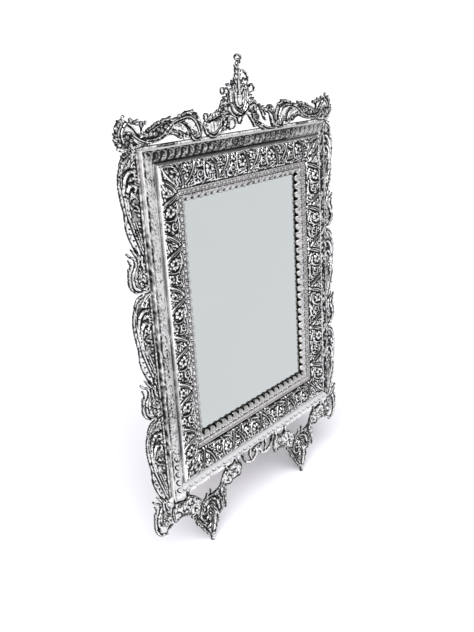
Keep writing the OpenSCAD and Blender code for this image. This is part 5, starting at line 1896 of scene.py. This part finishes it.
    def side_piece(self, side: Side, index: int, finish: Material) -> None:
        """Builds one of the three lengths of a side's border.

        Args:
            side: Left or right.
            index: 0 for the upper length, 2 for the lower.
            finish: The silver it is dressed in.
        """
        word = ("upper", "middle", "lower")[index]
        top = SIZES.height / 2 - index * self.segment
        strokes, plates, flowers, beads, cuts = self.side_strokes(top)
        if index == 0:
            strokes = [*strokes, *sprig([(top - 2, 3), (top - 1, 10), (top - 4, 17)], 6, (4, 3.4), -50, 3.0)]
            flowers = [*flowers, (top - 3.6, 8.6, 3.0)]
        bottom = max(top - self.segment, -SIZES.height / 2) + 1
        edge = [(bottom + (top - 1 - bottom) * k / 6, 5.0) for k in range(7)]
        strokes = [*sprig(edge, 26, (4.0, 3.2), 38, 2.8), *strokes]
        plates = [*plates, [(bottom, 3.4), (bottom, 7.0), (top - 1, 7.0), (top - 1, 3.4)]]
        sheets = [[(bottom, 0.2), (bottom, 3.4), (top - 1, 3.4), (top - 1, 0.2)]]
        if index == 2:
            low = top - self.segment
            strokes = [replace(s, points=[(x - 8 * min(max((low + 24 - x) / 30, 0), 1), z) for x, z in s.points])
                       for s in strokes]
        reach = (-SIZES.height if index == 2 else top - self.segment, SIZES.height if index == 0 else top)
        Casting(f"silver_side_{side.value}_{word}", f"side_scroll_{side.value}_{word}", side, reach, strokes, sheets,
                plates, flowers, late_beads=beads, grooves=cuts,
                limits=(top - self.segment - (12 if index == 2 else 3), top + 7), height=28, show=0.9,
                mottle=0.2 if side is Side.LEFT else 0.0).build(finish)

    def foot(self, sign: int, finish: Material) -> None:
        """Builds one scroll foot with its two arms.

        Args:
            sign: -1 for the left foot, 1 for the right.
            finish: The silver it is dressed in.
        """
        strokes = [
            Stroke([(-55.5, 14), (-47.5, 10.8), (-38, 13.6), (-31.5, 11.6), (-23.5, 15.6), (-17.5, 21.4),
                    (-12.5, 27)], 1.9, 2.3, 0.7),
            Stroke([(-54.5, 30), (-44.5, 28.8), (-37.5, 31), (-30, 34.4), (-29, 39), (-21.5, 40), (-18.5, 45)],
                   2.0, 2.3, 0.7),
            Stroke([(-54.6, 30), (-56.8, 22), (-55.4, 13)], 1.9, 2.2, 0.8),
            *sprig([(-51, 19), (-44, 21), (-36, 23), (-29, 26)], 5, (4.6, 4.2), 40, 2.6),
            *sprig([(-24, 17), (-19, 24), (-15, 30)], 5, (4, 3.6), 20, 2.4),
            *sprig([(-24, 40), (-22, 48), (-17, 56), (-12, 63), (-6, 70)], 9, (4.2, 3.6), 24, 2.8),
            Stroke([(-21.5, 41), (-22, 49), (-16.5, 57), (-12.5, 64), (-7.5, 70.4), (-2.5, 76)], 2.2, 2.2, 0.7),
            Stroke([(-16.5, 40), (-13.5, 31), (-7.5, 27.6), (0.5, 26.8), (8.5, 29.6), (14.5, 36), (17.5, 44),
                    (16.6, 51), (13.6, 56)], 2.3, 2.4, 0.6),
            Stroke([(-11, 40), (-7, 33.6), (-1.5, 31.2), (4.5, 33), (10.5, 39), (12.6, 47), (11.4, 53)],
                   2.1, 2.4, 0.6),
            Stroke([(-7.5, 44), (-4, 38.4), (2.5, 39.6), (5.4, 45), (8.6, 49), (8, 54)], 2.0, 2.4, 0.6),
            Stroke([(-16.6, 40), (-16, 48), (-11, 52), (-6, 50), (-6.6, 45.6)], 2.1, 2.3, 0.7),
            Stroke([(-12, 54), (-8, 58), (-3.4, 56), (-4.4, 52.4)], 1.9, 2.2, 0.7),
            Stroke([(-11, 60), (-6, 63.6), (-2.6, 61)], 1.9, 2.2, 0.7),
            Stroke([(2.5, 48), (4.9, 58), (2.9, 68), (0.6, 76), (0.2, 86)], 3.0, 2.4, 0.9),
            *sprig([(10, 50), (10.6, 58), (7.6, 67), (3.4, 76)], 9, (3.8, 3.2), -24, 2.8),
            Stroke([(-6, 66), (-3.6, 72), (-1, 78), (-0.8, 86)], 2.6, 2.2, 0.9),
            Stroke([(-7.5, 28), (-5, 25.4), (-4.4, 22.8)], 2.8, 2.1, 0.7, LEAF, 0.2),
            Stroke([(1, 28), (2.2, 24), (1.8, 20.6)], 3.0, 2.1, 0.7, LEAF, 0.2),
            Stroke([(3, 24), (6.5, 26.4), (12.5, 26.4), (17.5, 24), (20.5, 19), (24, 14), (29, 11), (36, 9),
                    (45, 6.6)], 1.9, 2.2, 0.7),
            *sprig([(19, 26), (23, 31), (25, 37), (25.4, 46), (27, 52)], 11, (5.4, 4.6), 44, 3.2),
            *sprig([(18, 30), (20, 38), (20, 46), (18, 53)], 7, (4.4, 4), -6, 2.8),
            Stroke([(50.5, 27), (41, 27), (33.5, 29.6), (27.5, 27.4)], 1.9, 2.3, 0.7),
            Stroke([(50, 8), (53.4, 12), (55.4, 19.6), (52, 26.4)], 1.9, 2.2, 0.8),
            *sprig([(27, 20), (35, 18), (43, 16), (50, 17)], 6, (4.4, 4), -28, 2.6),
            *[Stroke([(x, 3), (x + 1, 9), (x, 15)], 3.2, 2.0, 0.9, LEAF) for x in (-52, -33, 29, 46)],
        ]
        place = Shift(sign * self.foot_middle)
        sheets = [[(-54.5, 15), (-47.5, 12), (-38, 15), (-31, 13), (-23, 17), (-17, 23), (-15, 28), (-19, 38),
                   (-28, 38), (-37, 30.5), (-45, 28.5), (-54.5, 29)],
                  [(22, 17), (29, 13), (36, 10.6), (43, 8.6), (51, 11), (54.4, 19), (51, 26), (41, 26), (33, 28.5),
                   (27, 26), (22, 24)],
                  [(-13, 38), (-9, 31), (0, 28.6), (8, 31), (14, 38), (15.4, 50), (12, 48), (9, 38), (3, 33),
                   (-4, 32.6), (-9, 38)], [(-3, 41), (1, 40.4), (4, 46), (8, 51), (6.4, 60), (3.6, 52), (0, 46)]]
        plates = [[(-18, 42), (-14, 31), (-1, 27), (10, 31), (17, 44), (13, 56), (10, 60), (7, 68), (2.6, 78),
                   (2, 86), (-2, 86), (-3, 76), (-8, 70), (-13, 64), (-17, 57), (-22, 49)],
                  [(15, 26), (24, 19), (29, 27), (27, 44), (20, 52), (16, 48)]]
        cuts = [([(-49.5, 20.6), (-46, 23), (-43.5, 27)], 0.9), ([(-41.5, 18), (-41.6, 22), (-39.5, 26)], 0.9),
                ([(-34.5, 16), (-33.6, 20), (-30.5, 24)], 0.9), ([(-27.5, 15.6), (-27.6, 19), (-24, 24)], 0.9),
                ([(-52, 15.6), (-46, 14), (-40, 16)], 0.7), ([(-52, 28), (-44, 27), (-38, 29)], 0.7),
                ([(-12.4, 37), (-9, 32), (-2, 29.4), (6, 31.6), (12, 37.4), (14.8, 46)], 1.0),
                ([(-9, 42), (-5, 36), (0, 34.4), (6, 38), (9.6, 45)], 1.3),
                ([(-3, 43), (-0.6, 42), (2, 46), (5.4, 52)], 1.4), ([(-13.6, 44), (-11, 48), (-8, 47.6)], 1.8),
                ([(-18.6, 47), (-15, 52.6), (-11, 57)], 1.5), ([(-1, 50), (0.8, 56), (-0.4, 66), (-3, 72)], 2.0),
                ([(7, 56), (6.6, 64), (3.8, 72)], 1.3), ([(-9.6, 61), (-9, 66), (-5, 70)], 1.3),
                ([(-6.4, 54.4), (-5, 54.6)], 2.2), ([(1.4, 76), (1.6, 80)], 1.2),
                ([(30, 17), (35, 20), (39, 18), (44, 19.4)], 0.9), ([(45.5, 23), (50, 22.4)], 1.1),
                ([(41.5, 14.6), (46, 16.6)], 1.1), ([(27, 22), (33, 25)], 0.9),
                ([(24, 20), (22, 26), (21.6, 34)], 1.2), ([(22.4, 38), (22.4, 46)], 1.2)]
        where = (-SIZES.width, -self.apron_half) if sign < 0 else (self.apron_half, SIZES.width)
        word = "left" if sign < 0 else "right"
        beads = [(-11.4, 58, 1.4), (-6.6, 61.4, 1.3), (-4, 67, 1.4), (-14, 50, 1.3), (-9.6, 44.4, 1.4),
                 (-1.6, 48, 1.3)]
        Casting(f"silver_foot_{word}", f"scroll_foot_{word}", Side.BOTTOM, where, place.strokes(strokes),
                place.lines(sheets), place.lines(plates),
                flowers=place.rounds([(-44, 21.6, 2.8), (-34, 26.6, 2.6), (37, 17, 2.4)]), beads=place.rounds(beads),
                rings=place.rounds([(-24.5, 30.6, 5.2), (-4.4, 44.6, 2.6)]), pits=place.rounds([(-24.5, 30.6, 1.9)]),
                grooves=place.cuts(cuts), height=88, floor=self.foot_floor, show=6.8, mottle=0.4,
                limits=(place.x - 62 if sign > 0 else -150, place.x + 62 if sign < 0 else 150)).build(finish)

    def apron(self, finish: Material) -> None:
        """Builds the small scrolls under the frame's bottom edge.

        Args:
            finish: The silver it is dressed in.
        """
        half = [
            Stroke([(-29, 3), (-24.2, 15), (-15.6, 19.8), (-7, 18), (-3.6, 12), (-5.2, 6.5), (-9, 9)],
                   3.6, 2.3, 0.7, RAIL),
            Stroke([(-14, 3), (-15, 11), (-12, 19)], 3.0, 2.0, 0.8, LEAF),
            Stroke([(-4, 13), (0.5, 10)], 4.0, 2.1, 0.9, LEAF),
        ]
        Casting("silver_apron_centre", "apron_centre", Side.BOTTOM, (-self.apron_half, self.apron_half),
                [*half, *Shift(turn=-1).strokes(half)], flowers=[(0, 8, 5)], limits=(-36, 36),
                height=24).build(finish)

    def build(self, finish: Material) -> None:
        """Builds every casting.

        Args:
            finish: The silver it is dressed in.
        """
        self.crest(finish)
        for mirrored in (False, True):
            self.wing(mirrored, finish)
        for side in (Side.LEFT, Side.RIGHT):
            for index in range(3):
                self.side_piece(side, index, finish)
        for sign in (-1, 1):
            self.foot(sign, finish)
        self.apron(finish)


# ------------------------------------------------------------------ working parts


def islands(node: Object) -> list[Array]:
    """Splits a CAD node into its separate solids.

    Args:
        node: The CAD node.

    Returns:
        The points of each solid, in metres.
    """
    work = bmesh.new()
    work.from_mesh(node.data)
    bmesh.ops.remove_doubles(work, verts=work.verts, dist=1e-6)
    left = set(work.verts)
    parts = []
    while left:
        queue = [left.pop()]
        part = list(queue)
        while queue:
            for edge in queue.pop().link_edges:
                for vert in edge.verts:
                    if vert in left:
                        left.remove(vert)
                        queue.append(vert)
                        part.append(vert)
        parts.append(np.array([node.matrix_world @ v.co for v in part]))
    work.free()
    return sorted(parts, key=lambda p: tuple(np.round(p.mean(0), 5)))


@dataclass
class Screws:
    """Slotted screws with domed heads and rolled threads, one in each place where the CAD has a plain one."""

    slot: float = 0.16
    slot_depth: float = 0.55
    dome: float = 0.42
    pitch: float = 0.0009
    thread: float = 0.16

    @staticmethod
    def polar(points: Array, middle: Array, line: Array) -> tuple[Array, Array]:
        """Gives places along a line and distances from it."""
        t = (points - middle) @ line
        return t, np.linalg.norm(points - middle - t[:, None] * line, axis=1)

    def axis(self, points: Array) -> tuple[Array, Array]:
        """Finds a screw's centre line, which points out through its head.

        Args:
            points: The points of the CAD's screw, in metres.

        Returns:
            Its middle and the line's direction.
        """
        middle = points.mean(0)
        values, vectors = np.linalg.eigh(np.cov((points - middle).T))
        line = vectors[:, 2] if values[2] - values[1] > values[1] - values[0] else vectors[:, 0]
        t, r = self.polar(points, middle, line)
        return middle, line * (1 if t[r > 0.98 * r.max()].mean() > 0 else -1)

    def one(self, points: Array, turn: float) -> tuple[Array, Array, list[list[int]]]:
        """Makes one screw.

        Args:
            points: The points of the CAD's screw, in metres.
            turn: How far its slot is turned, in radians.

        Returns:
            Points, four-cornered faces, and the face that closes its point.
        """
        middle, line = self.axis(points)
        t, r = self.polar(points, middle, line)
        head_r, top, tip = r.max(), t.max(), t.min()
        under = t[r > 0.98 * head_r].min()
        shank = r[t < tip + 0.0004].max()
        thick = top - under
        s = self.slot
        right = np.array([s, s + 0.05, 0.3, 0.48, 0.66, 0.82, 0.93, 0.985])
        xs = np.concatenate([-right[::-1], right])
        x, v = np.meshgrid(xs, np.linspace(-1, 1, 13), indexing="ij")
        y = v * np.sqrt(1 - x ** 2)
        away = np.hypot(x, y)
        z = top - self.dome * thick * away ** 2.4
        z = z - (np.abs(x) <= s + 1e-9) * self.slot_depth * thick * unit((1 - away) / 0.06) * (1 - 0.3 * away)
        n, m = x.shape
        index = np.arange(n * m).reshape(n, m)
        loop = np.concatenate([index[0, :-1], index[:-1, -1], index[-1, :0:-1], index[:0:-1, 0]])
        cap = np.stack([index[:-1, :-1], index[1:, :-1], index[1:, 1:], index[:-1, 1:]], -1).reshape(-1, 4)
        rim = np.stack([x.ravel()[loop], y.ravel()[loop]], 1)
        rim = rim / np.linalg.norm(rim, axis=1)[:, None]
        angle = np.arctan2(rim[:, 1], rim[:, 0])
        low = top - self.dome * thick
        flat = [np.stack([x.ravel() * head_r, y.ravel() * head_r, z.ravel()], 1)]
        rows = [(head_r, low - 0.06 * thick), (head_r, under + 0.1 * thick), (head_r - 0.1 * thick, under),
                (shank, under)]
        heights = np.arange(under, tip + 0.9 * self.pitch, -self.pitch / 5)
        rings = [np.full(len(loop), radius) for radius, _ in rows]
        rings += [shank * (1 - self.thread * (0.5 + 0.5 * np.cos(2 * np.pi * h / self.pitch - angle)))
                  for h in heights]
        levels = [h for _, h in rows] + list(heights) + [tip]
        rings.append(np.full(len(loop), 0.35 * shank))
        for radius, height in zip(rings, levels):
            flat.append(np.stack([rim[:, 0] * radius, rim[:, 1] * radius, np.full(len(loop), height)], 1))
        faces = [cap]
        start = n * m
        upper = loop
        k = np.arange(len(loop))
        for row in range(len(rings)):
            lower = start + row * len(loop) + k
            faces.append(np.stack([upper[k], upper[k - 1], lower[k - 1], lower[k]], 1))
            upper = lower
        side = np.cross(line, [1.0, 0.0, 0.0] if abs(line[0]) < 0.8 else [0.0, 0.0, 1.0])
        side = side / np.linalg.norm(side)
        other = np.cross(line, side)
        a = math.cos(turn) * side + math.sin(turn) * other
        b = np.cross(line, a)
        local = np.concatenate(flat)
        placed = middle + local[:, :1] * a + local[:, 1:2] * b + local[:, 2:] * line
        return placed, np.concatenate(faces), [list(upper)]

    def build(self, node: Object, body: str, finish: Material) -> None:
        """Builds every screw of one CAD node.

        Args:
            node: The CAD node.
            body: The body it moves with.
            finish: Its material.
        """
        rng = np.random.default_rng(len(node.name))
        verts, quads, ends, count = [], [], [], 0
        for points in islands(node):
            pts, faces, end = self.one(points, rng.uniform(0, math.pi))
            verts.append(pts)
            quads.append(faces + count)
            ends += [[i + count for i in e] for e in end]
            count += len(pts)
        obj = mesh_object("slotted_" + node.name, np.concatenate(verts), np.concatenate(quads), ends, sharp_deg=40)
        settle(obj, finish, body, node.name)


@dataclass
class TurnButton:
    """One brass turn-button: a round-ended bar with filed edges and a countersunk pivot hole."""

    name: str
    x: float
    z: float
    turn_deg: float
    reach: float = 20.0
    tail: float = 6.0
    width: float = 9.0
    thick: float = 1.2
    hole: float = 1.55
    near_y: float = 16.8

    def outline(self) -> Array:
        """Gives points round the bar, about its pivot.

        Returns:
            The points, one to a row.
        """
        half = self.width / 2
        arc = np.linspace(0, np.pi, 22)
        far = np.stack([half * np.cos(arc), self.reach - half + half * np.sin(arc)], 1)
        near = np.stack([-half * np.cos(arc), half - self.tail - half * np.sin(arc)], 1)
        rise = np.linspace(0, 1, 14)[1:-1, None]
        left = far[-1] + (near[0] - far[-1]) * rise
        right = near[-1] + (far[0] - near[-1]) * rise
        return np.concatenate([far, left, near, right])

    def build(self, finish: Material) -> None:
        """Builds the button on its own body.

        Args:
            finish: Its material.
        """
        rim = self.outline()
        far = np.linalg.norm(rim, axis=1)
        ray = rim / far[:, None]
        t = self.thick
        rows = [(0, 0, 0), (0, 0, t - 0.2), (0, 0.2, t), (0.12, 0, t), (0.45, 0, t), (1, -1.3, t),
                (1, -0.9, t - 0.05), (1, -0.5, t - 0.17), (1, -0.2, t - 0.36), (1, 0, t - 0.6), (1, 0, 0.14),
                (1, -0.14, 0), (0.5, 0, 0)]
        turn = math.radians(self.turn_deg)
        rings = []
        for share, step, y in rows:
            r = self.hole + (far - self.hole) * share + step
            u, v = ray[:, 0] * r, ray[:, 1] * r
            rings.append(np.stack([self.x + u * math.cos(turn) + v * math.sin(turn), np.full(len(r), self.near_y + y),
                                   self.z - u * math.sin(turn) + v * math.cos(turn)], 1))
        n = len(rim)
        i, k = np.meshgrid(np.arange(len(rows)), np.arange(n), indexing="ij")
        after, around = (i + 1) % len(rows), (k + 1) % n
        quads = np.stack([i * n + k, i * n + around, after * n + around, after * n + k], -1).reshape(-1, 4)
        obj = mesh_object("brass_turn_button_" + self.name, STANCE.stand(np.concatenate(rings)), quads, sharp_deg=50)
        settle(obj, finish, "turn_button_" + self.name, "turn_button_" + self.name)


@dataclass
class Eased:
    """A CAD solid made again with its hard edges worn round and, for soft stuff, with an uneven face."""

    edge: float
    uneven: float = 0.0
    cuts: int = 0
    turn_deg: float = 30.0

    def build(self, node: Object, body: str, slot: str, finish: Material) -> None:
        """Builds the worn solid from its CAD node.

        Args:
            node: The CAD node.
            body: The body it moves with.
            slot: Not used.
            finish: Its material.
        """
        work = bmesh.new()
        work.from_mesh(node.data)
        bmesh.ops.transform(work, matrix=node.matrix_world, verts=work.verts)
        bmesh.ops.remove_doubles(work, verts=work.verts, dist=1e-6)
        bmesh.ops.dissolve_limit(work, angle_limit=math.radians(0.4), verts=work.verts, edges=work.edges)
        hard = [e for e in work.edges if len(e.link_faces) == 2 and e.is_convex
                and e.calc_face_angle(0.0) > math.radians(self.turn_deg)]
        bmesh.ops.bevel(work, geom=hard, offset=self.edge / 1000, offset_type="OFFSET", segments=3, profile=0.5,
                        affect="EDGES", clamp_overlap=False)
        if self.cuts:
            long = [e for e in work.edges if e.calc_length() > 0.002]
            bmesh.ops.subdivide_edges(work, edges=long, cuts=self.cuts, use_grid_fill=True)
            bmesh.ops.triangulate(work, faces=work.faces)
            work.normal_update()
            for vert in work.verts:
                p = vert.co * 1000
                wave = math.sin(2.1 * p.x + 1.3 * p.z) + math.sin(1.7 * p.y - 2.6 * p.x + 1)
                wave += math.sin(3.1 * p.z + 2.3 * p.y)
                vert.co -= vert.normal * self.uneven / 1000 * (0.5 + wave / 6)
        mesh = bpy.data.meshes.new("worn_" + node.name)
        work.to_mesh(mesh)
        work.free()
        mesh.polygons.foreach_set("use_smooth", np.ones(len(mesh.polygons), bool))
        mesh.set_sharp_from_angle(angle=math.radians(32))
        obj = bpy.data.objects.new("worn_" + node.name, mesh)
        bpy.context.scene.collection.objects.link(obj)
        settle(obj, finish, body, node.name)


@dataclass
class WorkingParts:
    """Wood, plate, felt and working metal behind the silver."""

    button_in: float = 30.75
    button_z: float = 85.0

    def buttons(self) -> list[TurnButton]:
        """Gives the six turn-buttons in their places.

        Returns:
            The buttons.
        """
        x, z = SIZES.width / 2 - self.button_in, SIZES.height / 2 - self.button_in
        return [TurnButton("top", 0, z, 180), TurnButton("bottom", 0, -z, 0),
                TurnButton("left_upper", -x, self.button_z, 90), TurnButton("left_lower", -x, -self.button_z, 90),
                TurnButton("right_upper", x, self.button_z, -90), TurnButton("right_lower", x, -self.button_z, -90)]

    def build(self, nodes: dict[str, Object]) -> None:
        """Builds the working parts round the CAD's nodes, and silvers the plate.

        Args:
            nodes: The CAD nodes by name.
        """
        upright = WoodFinish("walnut_upright").material()
        level = WoodFinish("walnut_level", grain=(0.06, 1.0, 1.0)).material()
        brass = MetalFinish("brass", (0.64, 0.47, 0.2), (0.34, 0.24, 0.11), 0.3).material()
        steel = MetalFinish("steel", (0.52, 0.52, 0.53), (0.3, 0.3, 0.31), 0.28).material()
        felt = ClothFinish("felt", (0.2, 0.045, 0.075), (0.11, 0.02, 0.04)).material()
        leather = ClothFinish("leather", (0.1, 0.06, 0.035), (0.05, 0.028, 0.018), 500, 0.05, 0.6).material()
        dress(nodes["mirror_plate"], PlateFinish().material())
        for side in Side:
            grain = level if side.level else upright
            Eased(0.5).build(nodes["rail_" + side.value], "frame", "walnut", grain)
        Eased(0.6).build(nodes["back_board"], "frame", "walnut", upright)
        Eased(0.9).build(nodes["easel_strut"], "strut", "walnut", upright)
        Eased(0.35, 0.16, 3).build(nodes["strut_pad"], "strut", "leather", leather)
        Eased(0.2, 0.1, 5).build(nodes["felt_sheet"], "frame", "felt", felt)
        for name, body, edge in (("hinge_leaf_board", "frame", 0.18), ("hinge_leaf_strut", "strut", 0.18),
                                 ("stay_lugs", "frame", 0.25), ("stay_keeper", "strut", 0.18)):
            Eased(edge).build(nodes[name], body, "brass", brass)
        for name, body, edge in (("hinge_pin", "frame", 0.3), ("wire_stay", "stay", 0.25)):
            Eased(edge).build(nodes[name], body, "steel", steel)
        for name, body in (("openwork_screws", "frame"), ("turn_button_screws", "frame"), ("board_screws", "frame"),
                           ("strut_screws", "strut")):
            Screws().build(nodes[name], body, brass)
        for button in self.buttons():
            button.build(brass)


# ------------------------------------------------------------------ studio


@dataclass
class Studio:
    """A plain pale floor, soft lights and the camera."""

    eye: Triple = (-578.0, -462.6, 234.7)
    right: Triple = (0.6297, -0.7748, -0.0558)
    up: Triple = (0.2847, 0.1633, 0.9446)
    forward: Triple = (0.7228, 0.6107, -0.3234)
    lens: float = 41.1
    horizon: float = 1.0
    dark: float = 0.08
    left: float = 1.1
    power: float = 2.95
    spread: float = 52.0
    white: float = 1.1
    floor_half: float = 30.0
    shine: Triple = (0.5, 0.34, -0.8)
    paper: Triple = (0.922, 0.915, 0.972)
    paper_light: Triple = (0.93, 0.923, 0.976)

    def camera(self) -> None:
        """Sets the camera at the chosen angle."""
        data = bpy.data.cameras.new("camera")
        data.lens = self.lens
        data.sensor_width = 36.0
        data.clip_end = 100.0
        cam = bpy.data.objects.new("camera", data)
        bpy.context.scene.collection.objects.link(cam)
        columns = [STANCE.turn(self.right), STANCE.turn(self.up), -STANCE.turn(self.forward)]
        turn = Matrix(columns).transposed().to_4x4()
        eye = STANCE.stand(np.array([self.eye]))[0]
        cam.matrix_world = Matrix.Translation(Vector(eye)) @ turn
        bpy.context.scene.camera = cam

    def floor(self) -> None:
        """Lays a wide pale floor."""
        mesh = bpy.data.meshes.new("studio_floor")
        r = self.floor_half
        mesh.from_pydata([(-r, -r, 0), (r, -r, 0), (r, r, 0), (-r, r, 0)], [], [(0, 1, 2, 3)])
        obj = bpy.data.objects.new("studio_floor", mesh)
        bpy.context.scene.collection.objects.link(obj)
        kit = Surface("studio_paper")
        kit.colour(kit.noise(3, 3, 0.5), [(0.3, self.paper), (0.7, self.paper_light)])
        kit.feed("Roughness", 0.9)
        dress(obj, kit.material)

    def sky(self) -> None:
        """Sets the surround: white low down and to the left, dark high up on the right."""
        world = bpy.data.worlds.new("studio")
        bpy.context.scene.world = world
        world.use_nodes = True
        kit = NodeKit(world.node_tree)
        around = kit.add("TexCoord").outputs["Generated"]

        def zone(direction: Triple, start: float, end: float, low: float,
                 high: float) -> Socket:
            """Gives a brightness that goes from low to high along a direction.

            Args:
                direction: The direction.
                start: Where on it the change starts.
                end: Where it ends.
                low: Brightness up to the start.
                high: Brightness from the end on.

            Returns:
                The brightness.
            """
            dot = kit.add("VectorMath", {0: around, 1: direction}, operation="DOT_PRODUCT").outputs["Value"]
            return kit.add("MapRange", {"Value": dot, "From Min": start, "From Max": end, "To Min": low,
                                        "To Max": high}).outputs["Result"]

        back = world.node_tree.nodes["Background"]
        kit.fill(back.inputs["Color"], kit.math("MAXIMUM", zone((0, 0, 1), 0.1, 0.3, self.horizon, self.dark),
                                                zone((-0.85, -0.2, 0.5), 0.1, 0.75, self.dark, self.left)))
        white = kit.add("Background", {"Color": (1.0, 1.0, 1.0, 1.0), "Strength": self.white})
        seen = kit.add("LightPath").outputs["Is Camera Ray"]
        mix = kit.add("MixShader", {0: seen, 1: back.outputs[0], 2: white.outputs[0]})
        kit.fill(world.node_tree.nodes["World Output"].inputs["Surface"], mix.outputs[0])

    def sun(self) -> None:
        """Adds one very soft light from the upper left."""
        data = bpy.data.lights.new("sun", "SUN")
        data.energy = self.power
        data.angle = math.radians(self.spread)
        lamp = bpy.data.objects.new("sun", data)
        lamp.rotation_euler = Vector(self.shine).to_track_quat("-Z", "Y").to_euler()
        bpy.context.scene.collection.objects.link(lamp)

    def build(self) -> None:
        """Sets up floor, lights, surround and camera."""
        bpy.context.scene.view_settings.view_transform = "Standard"
        self.floor()
        self.sky()
        self.sun()
        self.camera()


def main(frame: dict) -> None:
    """Builds and dresses the whole mirror.
    """
    silver = {kind: kind.value.material() for kind in Silver}
    # the bottom roll takes the soft, lighter satin silver as painted light from above
    rolls = {Side.TOP: Silver.DULLED, Side.LEFT: Silver.RUBBED, Side.RIGHT: Silver.RUBBED, Side.BOTTOM: Silver.SOFT}
    for side in Side:
        EdgeBand().build(side, silver[Silver.BRIGHT])
        Gadroons().build(side, silver[rolls[side]])
        FloralBand().build(side, silver[Silver.CHASED])
        Fillet().build(side, silver[Silver.OLD if side is Side.LEFT else Silver.PLAIN])
        # the bottom leaf tips take the brighter old silver as painted light; the others take the leafy silver
        LeafTips().build(side, silver[Silver.OLD if side is Side.BOTTOM else Silver.LEAFY])
    Openwork().build(silver[Silver.OLD])
    WorkingParts().build(frame["nodes"])
    Studio().build()


if __name__ == "__main__":
    logging.basicConfig(level=logging.INFO, format="%(name)s: %(message)s")
    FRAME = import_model()
    main(FRAME)
